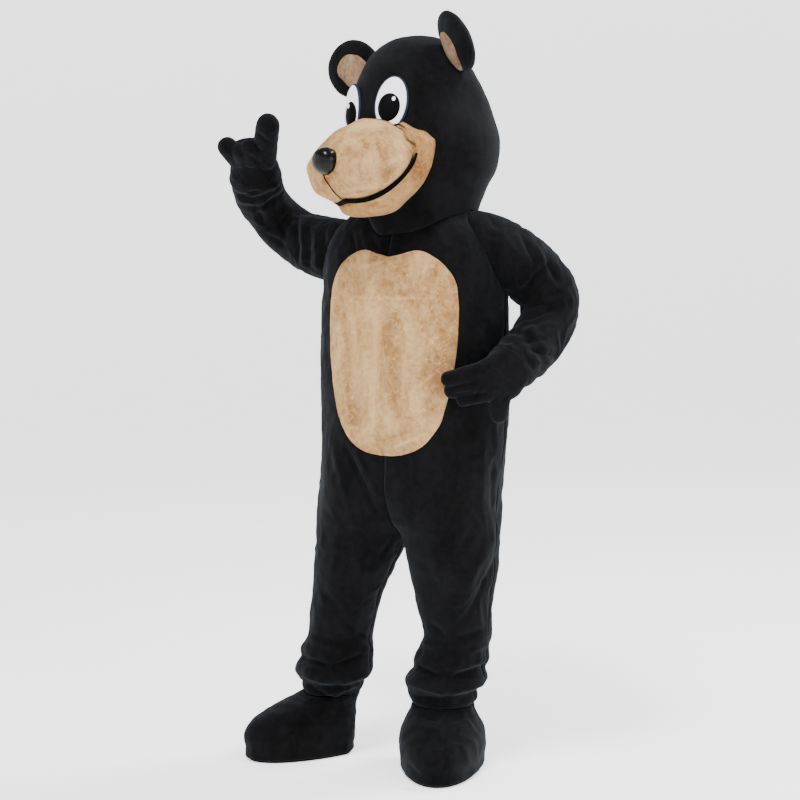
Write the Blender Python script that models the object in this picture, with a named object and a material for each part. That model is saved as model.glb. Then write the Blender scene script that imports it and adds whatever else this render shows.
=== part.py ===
import math

import bmesh
import bpy
import numpy as np

# Bear mascot costume in the pose of a standing wearer, sizes in metres.
# The wearer faces -Y, so the wearer's left is +X. Heights in the tables are above the floor,
# and everything is moved down at the end so that the origin is where the shoulders carry it.

HELD_HEIGHT = 1.44
SEAM_GAP = 0.0003
PLUSH = 0.003
PATCH_PLUSH = 0.0025
HEAD_WALL = 0.012
MUZZLE_WALL = 0.009

NECK_Z = 1.475
ANKLE_Z = 0.165
LEGS_APART = 0.50
PANEL_COLUMNS = 8
PANEL_ROWS = (
    (ANKLE_Z, 0.31, 7),
    (0.31, 0.60, 5),
    (0.60, 0.72, 4),
    (0.72, 0.92, 4),
    (0.92, 1.34, 6),
    (1.34, NECK_Z, 5),
)

# Half of the body at each height. Mid is where the two halves meet, inset is how far the centre
# of the half lies outward of it, half_width, front and back are radii about that centre.
BODY_COLUMNS = ("z", "mid", "inset", "half_width", "along_y", "front", "back", "square")
TORSO_ROWS = (
    (0.62, -0.022, 0.124, 0.125, 0.000, 0.136, 0.146, 2.0),
    (0.68, -0.018, 0.096, 0.152, 0.000, 0.158, 0.166, 2.0),
    (0.75, -0.012, 0.060, 0.188, 0.000, 0.174, 0.174, 2.05),
    (0.85, -0.003, 0.018, 0.232, 0.000, 0.186, 0.176, 2.1),
    (0.92, 0.000, 0.000, 0.250, 0.000, 0.190, 0.174, 2.15),
    (1.05, 0.000, 0.000, 0.250, 0.000, 0.193, 0.171, 2.2),
    (1.15, 0.000, 0.000, 0.248, 0.000, 0.190, 0.171, 2.2),
    (1.25, 0.000, 0.000, 0.246, 0.000, 0.184, 0.171, 2.2),
    (1.33, 0.000, 0.000, 0.240, 0.000, 0.176, 0.171, 2.2),
    (1.37, 0.000, 0.000, 0.230, 0.000, 0.166, 0.170, 2.2),
    (1.40, 0.000, 0.000, 0.216, 0.000, 0.153, 0.163, 2.15),
    (1.42, 0.000, 0.000, 0.202, 0.000, 0.141, 0.155, 2.1),
    (1.44, 0.000, 0.000, 0.180, 0.000, 0.125, 0.144, 2.1),
    (1.46, 0.000, 0.000, 0.159, 0.000, 0.105, 0.128, 2.1),
    (1.48, 0.000, 0.000, 0.130, 0.000, 0.080, 0.108, 2.0),
    (1.50, 0.000, 0.000, 0.090, 0.000, 0.055, 0.080, 2.0),
    (1.52, 0.000, 0.000, 0.030, 0.000, 0.030, 0.050, 2.0),
)
LEFT_LEG_ROWS = (
    (0.10, -0.022, 0.081, 0.079, 0.051, 0.079, 0.079, 2.0),
    (0.165, -0.022, 0.082, 0.083, 0.050, 0.083, 0.083, 2.0),
    (0.20, -0.022, 0.084, 0.096, 0.047, 0.096, 0.094, 2.0),
    (0.26, -0.022, 0.101, 0.099, 0.042, 0.100, 0.098, 2.0),
    (0.30, -0.022, 0.112, 0.095, 0.038, 0.098, 0.096, 2.0),
    (0.36, -0.022, 0.131, 0.089, 0.031, 0.092, 0.094, 2.0),
    (0.44, -0.022, 0.126, 0.098, 0.020, 0.104, 0.108, 2.0),
    (0.55, -0.022, 0.128, 0.117, 0.008, 0.124, 0.130, 2.0),
)
RIGHT_LEG_ROWS = (
    (0.10, -0.022, 0.240, 0.072, 0.034, 0.072, 0.072, 2.0),
    (0.165, -0.022, 0.236, 0.077, 0.030, 0.077, 0.077, 2.0),
    (0.19, -0.022, 0.232, 0.088, 0.028, 0.088, 0.088, 2.0),
    (0.25, -0.022, 0.220, 0.100, 0.021, 0.100, 0.098, 2.0),
    (0.335, -0.022, 0.202, 0.088, 0.012, 0.090, 0.092, 2.0),
    (0.44, -0.022, 0.176, 0.092, 0.002, 0.100, 0.106, 2.0),
    (0.55, -0.022, 0.144, 0.112, 0.000, 0.122, 0.128, 2.0),
)

# Folds of the body cloth: side is 1 for the wearer's left half, -1 for the right, turn is the
# angle from the inner front round the outside, slope is turn per metre of height.
FOLD_COLUMNS = ("side", "turn", "z", "slope", "width", "length", "depth")
FOLD_ROWS = (
    (1, 98, 1.12, 0, 9, 0.16, 0.007),
    (-1, 110, 1.00, 40, 12, 0.12, -0.006),
    (-1, 120, 0.76, 120, 16, 0.09, 0.007),
    (-1, 150, 0.78, 120, 14, 0.08, -0.005),
    (1, 130, 0.52, -150, 16, 0.12, 0.008),
    (1, 190, 0.78, 60, 14, 0.12, -0.007),
    (-1, 200, 0.70, -60, 14, 0.12, 0.007),
    (1, 235, 1.05, 30, 12, 0.14, 0.006),
    (-1, 240, 1.10, -30, 12, 0.14, 0.006),
    (1, 250, 0.50, 80, 18, 0.10, -0.006),
    (-1, 260, 0.50, -80, 18, 0.10, -0.006),
    (1, 90, 0.25, 900, 60, 0.014, 0.007),
    (1, 230, 0.235, -900, 70, 0.014, 0.006),
    (-1, 100, 0.245, -900, 60, 0.014, 0.007),
    (-1, 240, 0.26, 900, 70, 0.014, 0.006),
    (1, 60, 0.32, 500, 50, 0.016, -0.005),
    (-1, 70, 0.33, -500, 50, 0.016, -0.005),
)

# Sleeve paths from inside the shoulder to the wrist.
SLEEVE_COLUMNS = ("x", "y", "z", "radius")
LEFT_SLEEVE_ROWS = (
    (0.090, 0.000, 1.374, 0.080),
    (0.180, 0.008, 1.374, 0.085),
    (0.262, 0.040, 1.332, 0.083),
    (0.326, 0.080, 1.262, 0.078),
    (0.338, 0.075, 1.195, 0.073),
    (0.328, 0.025, 1.140, 0.069),
    (0.314, -0.040, 1.103, 0.066),
    (0.296, -0.103, 1.075, 0.062),
)
RIGHT_SLEEVE_ROWS = (
    (-0.090, 0.010, 1.345, 0.080),
    (-0.195, 0.015, 1.350, 0.083),
    (-0.290, 0.030, 1.365, 0.080),
    (-0.366, 0.045, 1.392, 0.071),
    (-0.422, 0.035, 1.440, 0.066),
    (-0.437, -0.015, 1.492, 0.066),
    (-0.428, -0.060, 1.532, 0.066),
    (-0.4135, -0.0965, 1.566, 0.065),
)
SLEEVE_CLEAR = 0.0018
SLEEVE_TURNS = 16
SLEEVE_STEPS = 12

# The head in its own frame: forward of, beside and above the point it turns about.
HEAD_POINT = (0.018, 0.008, 1.60)
HEAD_YAW = 21.0
HEAD_ROLL = 6.5
HEAD_COLUMNS = ("step", "up", "side", "front", "back")
HEAD_ROWS = (
    (0, 0.306, 0.000, 0.000, 0.000),
    (1, 0.296, 0.056, 0.060, 0.058),
    (2, 0.269, 0.102, 0.108, 0.102),
    (3, 0.217, 0.138, 0.148, 0.136),
    (4, 0.157, 0.167, 0.176, 0.165),
    (5, 0.090, 0.187, 0.194, 0.186),
    (6, 0.020, 0.199, 0.196, 0.198),
    (7, -0.045, 0.188, 0.186, 0.186),
    (8, -0.100, 0.156, 0.178, 0.152),
    (9, -0.150, 0.132, 0.180, 0.134),
    (10, -0.200, 0.130, 0.188, 0.132),
)
HEM_CLEAR = 0.0024
HEAD_TURNS = 28
HEAD_STEPS = 12

# Boots: each row is a level above the floor with reach forward, back and to each side of the
# ankle, and the share of the foot's step aside. The last ring is that of the trouser leg.
BOOT_COLUMNS = ("z", "front", "back", "side", "aside")
BOOT_ROWS = (
    (0.0263, 0.238, 0.066, 0.111, 1.00),
    (0.060, 0.243, 0.072, 0.115, 1.00),
    (0.090, 0.230, 0.074, 0.112, 0.95),
    (0.115, 0.192, 0.075, 0.102, 0.80),
    (0.135, 0.146, 0.076, 0.092, 0.55),
    (0.150, 0.106, 0.077, 0.085, 0.30),
)
BOOT_ASIDE = {1: (0.0, 0.0), -1: (-0.035, 0.017)}
BOOT_HEADINGS = {1: 18.0, -1: -30.0}
BOOT_TURNS = 20
BOOT_STEPS = 7
SOLE_TOP = 0.026
SOLE_EDGE = 0.004


def table(columns, rows):
    return dict(zip(columns, np.array(rows, float).T))


def smooth(at, steps, values):
    """Values between table rows along a curve that never overshoots a row."""
    gaps = np.diff(steps)
    rises = np.diff(values) / gaps
    slopes = np.zeros(len(steps))
    slopes[0] = rises[0]
    slopes[-1] = rises[-1]
    same = rises[:-1] * rises[1:] > 0
    both = np.where(same, rises[:-1] + rises[1:], 1.0)
    slopes[1:-1] = np.where(same, 2 * rises[:-1] * rises[1:] / both, 0.0)
    row = np.clip(np.searchsorted(steps, at, side="right") - 1, 0, len(steps) - 2)
    part = (at - steps[row]) / gaps[row]
    rest = 1 - part
    low = values[row] * (1 + 2 * part) * rest**2 + slopes[row] * gaps[row] * part * rest**2
    high = values[row + 1] * (3 - 2 * part) * part**2 - slopes[row + 1] * gaps[row] * rest * part**2
    return low + high


def signed_power(value, power):
    return np.sign(value) * np.abs(value) ** power


BODY = {
    1: table(BODY_COLUMNS, LEFT_LEG_ROWS + TORSO_ROWS),
    -1: table(BODY_COLUMNS, RIGHT_LEG_ROWS + TORSO_ROWS),
}
FOLDS = table(FOLD_COLUMNS, FOLD_ROWS)
HEAD = table(HEAD_COLUMNS, HEAD_ROWS)
BOOT = table(BOOT_COLUMNS, BOOT_ROWS)
SLEEVES = {1: table(SLEEVE_COLUMNS, LEFT_SLEEVE_ROWS), -1: table(SLEEVE_COLUMNS, RIGHT_SLEEVE_ROWS)}


def body_value(side, key, z):
    return smooth(z, BODY[side]["z"], BODY[side][key])


def fold_lift(side, turn, z):
    """How far the folds push the cloth out at a turn and height."""
    lift = np.zeros(np.broadcast(turn, z).shape)
    for k in range(len(FOLDS["side"])):
        if FOLDS["side"][k] != side:
            continue
        rise = z - FOLDS["z"][k]
        centre = np.radians(FOLDS["turn"][k] + FOLDS["slope"][k] * rise)
        away = np.mod(turn - centre + math.pi, 2 * math.pi) - math.pi
        across = away / np.radians(FOLDS["width"][k])
        along = rise / FOLDS["length"][k]
        lift = lift + FOLDS["depth"][k] * np.exp(-(across**2) - along**2)
    return lift


def first_turn(side, z, clear=SEAM_GAP / 2):
    """The turn at which the half comes within a distance of the other half, and zero on a leg."""
    inset = body_value(side, "inset", z) - clear
    ratio = inset / body_value(side, "half_width", z)
    power = body_value(side, "square", z) / 2
    cosine = np.where(z < LEGS_APART, 1.0, np.clip(signed_power(ratio, power), -1, 1))
    hair = (SEAM_GAP / 2 / body_value(side, "front", z)) ** power
    return np.maximum(np.arccos(cosine), hair)


def body_point(side, turn, z):
    """A point of the body's outer face: turn 0 is inward, a quarter is the front, a half the outside."""
    turn, z = np.broadcast_arrays(np.asarray(turn, float), np.asarray(z, float))
    power = 2 / body_value(side, "square", z)
    reach = np.where(np.sin(turn) > 0, body_value(side, "front", z), body_value(side, "back", z))
    out = -body_value(side, "half_width", z) * signed_power(np.cos(turn), power)
    y = -reach * signed_power(np.sin(turn), power)
    start = first_turn(side, z)
    from_edge = np.minimum(turn - start, 2 * math.pi - start - turn)
    fade = np.where(z > 0.60, np.clip(from_edge / math.radians(20), 0, 1) ** 2, 1.0)
    lift = fold_lift(side, turn, z) * fade / np.hypot(out, y)
    out = body_value(side, "inset", z) + out * (1 + lift)
    y = body_value(side, "along_y", z) + y * (1 + lift)
    return np.stack([body_value(side, "mid", z) + side * out, y, z], -1)


def face_normals(point, u, v, flip):
    """Outward unit vectors of a surface, from its slopes both ways."""
    step = 1e-4
    across = point(u + step, v) - point(u - step, v)
    along = point(u, v + step) - point(u, v - step)
    normal = np.cross(across, along) * flip
    return normal / np.linalg.norm(normal, axis=-1, keepdims=True)


def inside_body(points, grow):
    """Whether points lie within the body's outer face grown by a distance."""
    z = points[..., 2]
    inside = np.zeros(z.shape, bool)
    for side in (1, -1):
        out = side * (points[..., 0] - body_value(side, "mid", z)) - body_value(side, "inset", z)
        y = points[..., 1] - body_value(side, "along_y", z)
        reach = np.where(y < 0, body_value(side, "front", z), body_value(side, "back", z)) + grow
        power = body_value(side, "square", z)
        width = body_value(side, "half_width", z) + grow
        value = np.abs(out / width) ** power + np.abs(y / reach) ** power
        inside |= (value < 1) & (z < 1.52) & (z > ANKLE_Z)
    return inside


def ramp(segments):
    """Levels from a list of stretches, each cut into equal steps."""
    levels = [segments[0][0]]
    for low, high, count in segments:
        levels.extend(low + (high - low) * (k + 1) / count for k in range(count))
    return np.array(levels)


def wall_faces(rows, columns, around, turned=0, capped=False):
    """Triangles of a thin wall between an outer and an inner grid of the same size.

    Squares left of the column turned are cut along their other diagonal. A capped wall closes
    its last row over two extra points, one outside and one inside.
    """
    count = rows * columns
    spans = columns if around else columns - 1
    faces = []
    for r in range(rows - 1):
        for c in range(spans):
            a = r * columns + c
            b = r * columns + (c + 1) % columns
            up, over = a + columns, b + columns
            halves = ((a, b, up), (b, over, up)) if c < turned else ((a, b, over), (a, over, up))
            faces.extend(halves)
            faces.extend(tuple(count + p for p in reversed(half)) for half in halves)
    top = (rows - 1) * columns
    for c in range(spans):
        d = (c + 1) % columns
        faces.append((c, count + c, count + d, d))
        if capped:
            faces.append((top + c, top + d, 2 * count))
            faces.append((count + top + d, count + top + c, 2 * count + 1))
        else:
            faces.append((top + c, top + d, count + top + d, count + top + c))
    if not around:
        for r in range(rows - 1):
            a = r * columns
            faces.append((a, a + columns, count + a + columns, count + a))
            b = a + columns - 1
            faces.append((b, count + b, count + b + columns, b + columns))
    return faces


def add_object(name, points, faces, colour, roughness, place=None, cutter=False):
    mesh = bpy.data.meshes.new(name)
    points = np.asarray(points, float).reshape(-1, 3)
    if place is not None:
        points = place(points)
    points = points - np.array([0, 0, HELD_HEIGHT])
    mesh.from_pydata(points.tolist(), [], faces)
    tidy = bmesh.new()
    tidy.from_mesh(mesh)
    bmesh.ops.triangulate(tidy, faces=tidy.faces)
    bmesh.ops.recalc_face_normals(tidy, faces=tidy.faces)
    if tidy.calc_volume(signed=True) < 0:
        bmesh.ops.reverse_faces(tidy, faces=tidy.faces)
    tidy.to_mesh(mesh)
    tidy.free()
    item = bpy.data.objects.new(name, mesh)
    if cutter:
        CUTTERS.objects.link(item)
        item.hide_render = True
        item.display_type = "WIRE"
        return item
    COSTUME.objects.link(item)
    material = bpy.data.materials.new(name)
    material.use_nodes = True
    shader = material.node_tree.nodes["Principled BSDF"]
    shader.inputs["Base Color"].default_value = (*colour, 1)
    shader.inputs["Roughness"].default_value = roughness
    mesh.materials.append(material)
    return item


def combine(item, operation, *tools):
    for tool in tools:
        step = item.modifiers.new(operation.title(), "BOOLEAN")
        step.operation = operation
        step.solver = "EXACT"
        step.object = tool


def grid_wall(name, outer, inner, around, colour, roughness, place=None, turned=0, caps=None):
    rows, columns = outer.shape[:2]
    points = [outer.reshape(-1, 3), inner.reshape(-1, 3)]
    if caps is not None:
        points.append(np.array(caps))
    faces = wall_faces(rows, columns, around, turned, caps is not None)
    return add_object(name, np.concatenate(points), faces, colour, roughness, place)


def closed_loft(name, rings, colour=(0, 0, 0), roughness=0.8, place=None, cutter=False):
    """Rings joined one to the next, with the first and the last closed by a fan."""
    rows, columns = rings.shape[:2]
    points = rings.reshape(-1, 3)
    ends = np.stack([rings[0].mean(0), rings[-1].mean(0)])
    faces = []
    for r in range(rows - 1):
        for c in range(columns):
            a = r * columns + c
            b = r * columns + (c + 1) % columns
            faces.append((a, b, b + columns))
            faces.append((a, b + columns, a + columns))
    first = rows * columns
    for c in range(columns):
        d = (c + 1) % columns
        faces.append((first, d, c))
        faces.append((first + 1, (rows - 1) * columns + c, (rows - 1) * columns + d))
    return add_object(name, np.concatenate([points, ends]), faces, colour, roughness, place, cutter)


def blob(name, centre, axes, colour=(0, 0, 0), roughness=0.8, place=None, cutter=False, square=2.0, turns=20):
    """A rounded lump: axes are its reach to the side, front, back, up and down."""
    side, front, back, up, down = axes
    levels = turns // 2
    lean = np.radians(np.linspace(-80, 80, levels))[:, None]
    turn = (np.arange(turns) * 2 * math.pi / turns)[None, :]
    x = side * signed_power(np.cos(turn), 2 / square) * np.cos(lean)
    reach = np.where(np.sin(turn) < 0, front, back)
    y = reach * signed_power(np.sin(turn), 2 / square) * np.cos(lean)
    z = np.where(lean > 0, up, down) * np.sin(lean) + 0 * turn
    rings = np.stack([x, y, z], -1) + np.array(centre)
    return closed_loft(name, rings, colour, roughness, place, cutter)


def start_scene():
    for item in list(bpy.data.objects):
        bpy.data.objects.remove(item)
    made = []
    for name in ("Bear mascot costume", "Cutters"):
        group = bpy.data.collections.new(name)
        bpy.context.scene.collection.children.link(group)
        made.append(group)
    return made


COSTUME, CUTTERS = start_scene()
BLACK = (0.012, 0.012, 0.016)
TAN = (0.62, 0.44, 0.27)
WHITE = (0.9, 0.9, 0.9)
METAL = (0.35, 0.35, 0.36)

# Body panels
LEVELS = ramp(PANEL_ROWS)
ZIP_HALF_SLOT = 0.0045
ZIP_LOW = 0.95
ZIP_HIGH = 1.415


def panel_turns(side, z, face):
    """The turns of one row of a panel, from the middle of the body to the side seam."""
    clear = SEAM_GAP / 2
    if face == "back":
        ends = np.minimum(z - ZIP_LOW, ZIP_HIGH - z) / 0.02
        clear = clear + np.clip(ends, 0, 1) * ZIP_HALF_SLOT
    start = first_turn(side, z, clear)
    seam = math.pi - (SEAM_GAP / 2 / body_value(side, face, z)) ** (body_value(side, "square", z) / 2)
    turns = start + (seam - start) * np.linspace(0, 1, PANEL_COLUMNS + 1)
    return turns if face == "front" else 2 * math.pi - turns


def body_faces(side, face, z):
    """Points of one panel and the outward directions there."""
    turns = panel_turns(side, z, face)
    points = body_point(side, turns, z + 0 * turns)
    normals = face_normals(lambda u, v: body_point(side, u, v), turns, z + 0 * turns, side)
    return points, normals


def body_panel(name, side, face):
    points, normals = body_faces(side, face, LEVELS[:, None])
    return grid_wall(name, points, points - PLUSH * normals, False, BLACK, 0.9)


PANELS = {}
for side, word in ((1, "left"), (-1, "right")):
    for face in ("front", "back"):
        PANELS[side, face] = body_panel(f"body_{face}_{word}", side, face)

# Belly patch, a sheet a hair outside both front panels, trimmed to its outline
PATCH_FROM = 0.80
PATCH_COLUMNS = ("z", "left", "right")
PATCH_ROWS = (
    (0.850, 0.020, -0.015),
    (0.856, 0.052, -0.050),
    (0.870, 0.086, -0.084),
    (0.900, 0.118, -0.118),
    (0.950, 0.145, -0.143),
    (1.050, 0.168, -0.164),
    (1.150, 0.178, -0.172),
    (1.240, 0.178, -0.170),
    (1.295, 0.166, -0.158),
    (1.335, 0.138, -0.130),
    (1.358, 0.102, -0.094),
    (1.365, 0.070, -0.062),
    (1.356, 0.034, -0.028),
    (1.349, 0.004, 0.002),
)


def belly_patch():
    z = LEVELS[(LEVELS > PATCH_FROM) & (LEVELS < NECK_Z)][:, None]
    sheets = []
    for side in (-1, 1):
        points, normals = body_faces(side, "front", z)
        order = slice(None, None, -1) if side < 0 else slice(None)
        sheets.append((points[:, order], normals[:, order]))
    points = np.concatenate([sheets[0][0], sheets[1][0]], 1)
    normals = np.concatenate([sheets[0][1], sheets[1][1]], 1)
    inner = points + SEAM_GAP * normals
    outer = points + (SEAM_GAP + PATCH_PLUSH) * normals
    patch = grid_wall("belly_patch", outer, inner, False, TAN, 0.85, turned=PANEL_COLUMNS + 1)
    rows = table(PATCH_COLUMNS, PATCH_ROWS)
    x = np.concatenate([rows["left"], rows["right"][::-1]])
    level = np.concatenate([rows["z"], rows["z"][::-1]])
    rings = [np.stack([x, np.full_like(x, y), level], -1) for y in (-0.32, -0.02)]
    outline = closed_loft("patch outline", np.array(rings), cutter=True)
    combine(patch, "INTERSECT", outline)


belly_patch()

# Sleeves, and the armholes that they leave in the body panels


def glide(at, values):
    """Values along a smooth path through table rows set one step apart."""
    slopes = np.gradient(values)
    row = np.clip(np.floor(at).astype(int), 0, len(values) - 2)
    part = at - row
    rest = 1 - part
    low = values[row] * (1 + 2 * part) * rest**2 + slopes[row] * part * rest**2
    high = values[row + 1] * (3 - 2 * part) * part**2 - slopes[row + 1] * rest * part**2
    return low + high


def sleeve_middle(side, along):
    return np.stack([glide(along, SLEEVES[side][key]) for key in ("x", "y", "z")], -1)


def sleeve_frame(side, along):
    """Two directions across the sleeve and the one along it."""
    path = sleeve_middle(side, np.array([1.0, 4.0, 7.0]))
    bend = np.cross(path[1] - path[0], path[2] - path[1])
    step = 0.01
    ahead = sleeve_middle(side, along + step) - sleeve_middle(side, along - step)
    ahead = ahead / np.linalg.norm(ahead, axis=-1, keepdims=True)
    inward = np.cross(bend / np.linalg.norm(bend), ahead)
    inward = inward / np.linalg.norm(inward, axis=-1, keepdims=True)
    return inward, np.cross(ahead, inward), ahead


def sleeve_point(side, turn, along, grow=0.0):
    turn, along = np.broadcast_arrays(np.asarray(turn, float), np.asarray(along, float))
    inward, across, _ = sleeve_frame(side, along)
    radius = (glide(along, SLEEVES[side]["radius"]) + grow)[..., None]
    spoke = np.cos(turn)[..., None] * inward + np.sin(turn)[..., None] * across
    return sleeve_middle(side, along) + radius * spoke


def inside_sleeve(side, points, grow):
    """Whether points lie within the upper part of a sleeve grown by a distance."""
    steps = np.linspace(0, 3, 61)
    middle = sleeve_middle(side, steps)
    away = np.linalg.norm(points[..., None, :] - middle, axis=-1)
    return (away < glide(steps, SLEEVES[side]["radius"]) + grow).any(-1)


def leaves_body(side, turn, grow):
    """For each turn, how far along the sleeve its line comes out of the body."""
    steps = np.linspace(0, 3, 601)
    points = sleeve_point(side, turn[:, None], steps[None, :], grow)
    inside = inside_body(points, SLEEVE_CLEAR)
    last = steps.size - 1 - np.argmax(inside[:, ::-1], axis=1)
    return steps[np.where(inside.any(1), last + 1, 0)]


def sleeve(side, word):
    turns = np.arange(SLEEVE_TURNS) * 2 * math.pi / SLEEVE_TURNS
    share = np.linspace(0, 1, SLEEVE_STEPS + 1)[:, None]
    walls = []
    for grow in (0.0, -PLUSH):
        start = leaves_body(side, turns, grow)
        along = start + (7.0 - start) * share
        walls.append(sleeve_point(side, turns + 0 * along, along, grow))
    grid_wall(f"sleeve_{word}", walls[0], walls[1], True, BLACK, 0.9)
    way = np.linspace(0.0, 2.6, 8)[:, None]
    hole = sleeve_point(side, turns + 0 * way, way, -PLUSH - SEAM_GAP)
    cutter = closed_loft(f"armhole {word}", hole, cutter=True)
    for face in ("front", "back"):
        combine(PANELS[side, face], "DIFFERENCE", cutter)


sleeve(1, "left")
sleeve(-1, "right")

# Gloves: a palm and finger tubes, hollow and open at the wrist. Along is on from the sleeve's
# end, side is across the fingers, and out is away from the body or towards the front.
PALM_COLUMNS = ("along", "side", "out", "half_side", "half_out")
FINGER_COLUMNS = ("along", "side", "out", "far_along", "far_side", "far_out", "radius", "far_radius")
LEFT_PALM_ROWS = (
    (0.000, 0.000, 0.000, 0.062, 0.062),
    (0.020, -0.008, 0.002, 0.066, 0.052),
    (0.045, -0.010, 0.012, 0.064, 0.042),
    (0.070, -0.004, 0.026, 0.056, 0.036),
    (0.090, 0.004, 0.040, 0.044, 0.028),
    (0.100, 0.006, 0.048, 0.020, 0.014),
)
RIGHT_PALM_ROWS = (
    (0.000, 0.000, 0.000, 0.065, 0.065),
    (0.020, 0.000, 0.000, 0.062, 0.050),
    (0.045, -0.002, 0.000, 0.058, 0.040),
    (0.070, -0.004, 0.000, 0.054, 0.036),
    (0.090, -0.006, 0.000, 0.044, 0.030),
    (0.102, -0.006, 0.000, 0.022, 0.016),
)
LEFT_FINGER_ROWS = (
    (0.070, 0.028, 0.024, 0.120, 0.026, 0.092, 0.024, 0.020),
    (0.074, -0.004, 0.026, 0.118, -0.006, 0.092, 0.025, 0.021),
    (0.066, -0.034, 0.022, 0.106, -0.036, 0.074, 0.023, 0.019),
    (0.040, -0.034, 0.000, 0.066, -0.096, 0.010, 0.026, 0.022),
)
RIGHT_FINGER_ROWS = (
    (0.050, 0.028, 0.004, 0.178, 0.050, 0.010, 0.034, 0.030),
    (0.066, -0.004, 0.020, 0.112, -0.004, 0.026, 0.024, 0.022),
    (0.060, -0.026, 0.018, 0.102, -0.028, 0.024, 0.022, 0.021),
    (0.034, -0.032, 0.004, 0.100, -0.060, 0.010, 0.028, 0.026),
)
PALM_UP = {1: (0.0, 0.0, 1.0), -1: (0.9135, 0.4067, 0.0)}


def hand_frame(side):
    """Where the hand starts and its directions along, side and out, one to a row."""
    start = sleeve_middle(side, np.array(7.0))
    ahead = sleeve_frame(side, np.array(7.0))[2]
    across = np.array(PALM_UP[side]) - ahead * np.dot(PALM_UP[side], ahead)
    across = across / np.linalg.norm(across)
    out = np.cross(across, ahead) * (-1 if side > 0 else 1)
    return start, np.stack([ahead, across, out])


def ring(centre, first, second, turns):
    turn = (np.arange(turns) * 2 * math.pi / turns)[:, None]
    return centre + np.cos(turn) * first + np.sin(turn) * second


def capsule(name, low, high, low_radius, high_radius, place, turns=8):
    """A tapered tube with round ends, as a closed cutter or filler."""
    way = high - low
    way = way / np.linalg.norm(way)
    first = np.cross(way, (0.3, 0.2, 0.9))
    first = first / np.linalg.norm(first)
    second = np.cross(way, first)
    rings = []
    for end, radius, sign in ((low, low_radius, -1), (high, high_radius, 1)):
        leans = (60, 10) if sign < 0 else (0, 35, 68)
        for lean in leans:
            a = math.radians(lean)
            centre = end + way * sign * radius * math.sin(a)
            rings.append(ring(centre, first * radius * math.cos(a), second * radius * math.cos(a), turns))
    return closed_loft(name, np.array(rings), place=place, cutter=True)


def palm(side, rows, grow, lead):
    """Rings of the palm, the first as wide as the sleeve's end."""
    rings = []
    for k in range(len(rows["along"])):
        centre = np.array([rows["along"][k] + (lead if k == 0 else 0), rows["side"][k], rows["out"][k]])
        if k == len(rows["along"]) - 1:
            centre[0] += grow
        first = np.array([0, rows["half_side"][k] + grow, 0])
        second = np.array([0, 0, rows["half_out"][k] + grow])
        rings.append(ring(centre, first, second, SLEEVE_TURNS))
    return np.array(rings)


def glove(side, word, palm_rows, finger_rows):
    start, axes = hand_frame(side)

    def place(points):
        return start + points @ axes

    rows = table(PALM_COLUMNS, palm_rows)
    item = closed_loft(f"glove_{word}", palm(side, rows, 0, SEAM_GAP), BLACK, 0.9, place)
    hollows = [closed_loft(f"palm hollow {word}", palm(side, rows, -PLUSH, -0.02), place=place, cutter=True)]
    for k, row in enumerate(finger_rows):
        low, high = np.array(row[:3]), np.array(row[3:6])
        combine(item, "UNION", capsule(f"finger {word} {k}", low, high, row[6], row[7], place))
        hollow = capsule(f"finger hollow {word} {k}", low, high, row[6] - PLUSH, row[7] - PLUSH, place)
        hollows.append(hollow)
    combine(item, "DIFFERENCE", *hollows)


glove(1, "left", LEFT_PALM_ROWS, LEFT_FINGER_ROWS)
glove(-1, "right", RIGHT_PALM_ROWS, RIGHT_FINGER_ROWS)

# Boot covers and soles


def boot_frame(side):
    """The middle of the ankle and the boot's forward and sideways directions."""
    z = np.array(ANKLE_Z)
    x = body_value(side, "mid", z) + side * body_value(side, "inset", z)
    a = math.radians(BOOT_HEADINGS[side])
    ahead = np.array([math.sin(a), -math.cos(a), 0])
    return np.array([x, body_value(side, "along_y", z), 0]), ahead, np.array([-ahead[1], ahead[0], 0])


def boot_ring(side, z, front, back, width, aside, grow=0.0):
    middle, ahead, across = boot_frame(side)
    turn = (np.arange(BOOT_TURNS) * 2 * math.pi / BOOT_TURNS)[:, None]
    reach = np.where(np.cos(turn) > 0, front, back) + grow
    shift = np.array([*BOOT_ASIDE[side], 0]) * aside
    level = np.array([0, 0, z])
    spokes = ahead * reach * np.cos(turn) + across * (width + grow) * np.sin(turn)
    return middle + shift + level + spokes


def boot(side, word):
    leg = body_value(side, "half_width", np.array(ANKLE_Z))
    levels = np.append(BOOT["z"], ANKLE_Z - SEAM_GAP)
    top = {"front": leg, "back": leg, "side": leg, "aside": 0.0}
    sizes = {key: np.append(BOOT[key], top[key]) for key in top}
    height = levels[-1] - levels[0]
    outer = []
    inner = []
    for z in np.linspace(0, 1, BOOT_STEPS + 1) ** 0.8 * height + levels[0]:
        size = [smooth(np.array(z), levels, sizes[key]) for key in top]
        sink = PLUSH * 0.8 * (z - levels[0]) / height if z < levels[-1] else 0.0
        outer.append(boot_ring(side, z, *size))
        inner.append(boot_ring(side, z - sink, *size, grow=-PLUSH * 1.1))
    grid_wall(f"boot_{word}", np.array(outer), np.array(inner), True, BLACK, 0.9)
    base = [BOOT[key][0] + 0.003 for key in ("front", "back", "side")] + [1.0]
    edge = [(0.0, -SOLE_EDGE), (SOLE_EDGE, 0.0), (SOLE_TOP - 0.003, 0.0), (SOLE_TOP, -0.001)]
    rings = np.array([boot_ring(side, z, *base, grow=grow) for z, grow in edge])
    closed_loft(f"sole_{word}", rings, (0.02, 0.02, 0.022), 0.6)


boot(1, "left")
boot(-1, "right")

# Head


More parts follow.
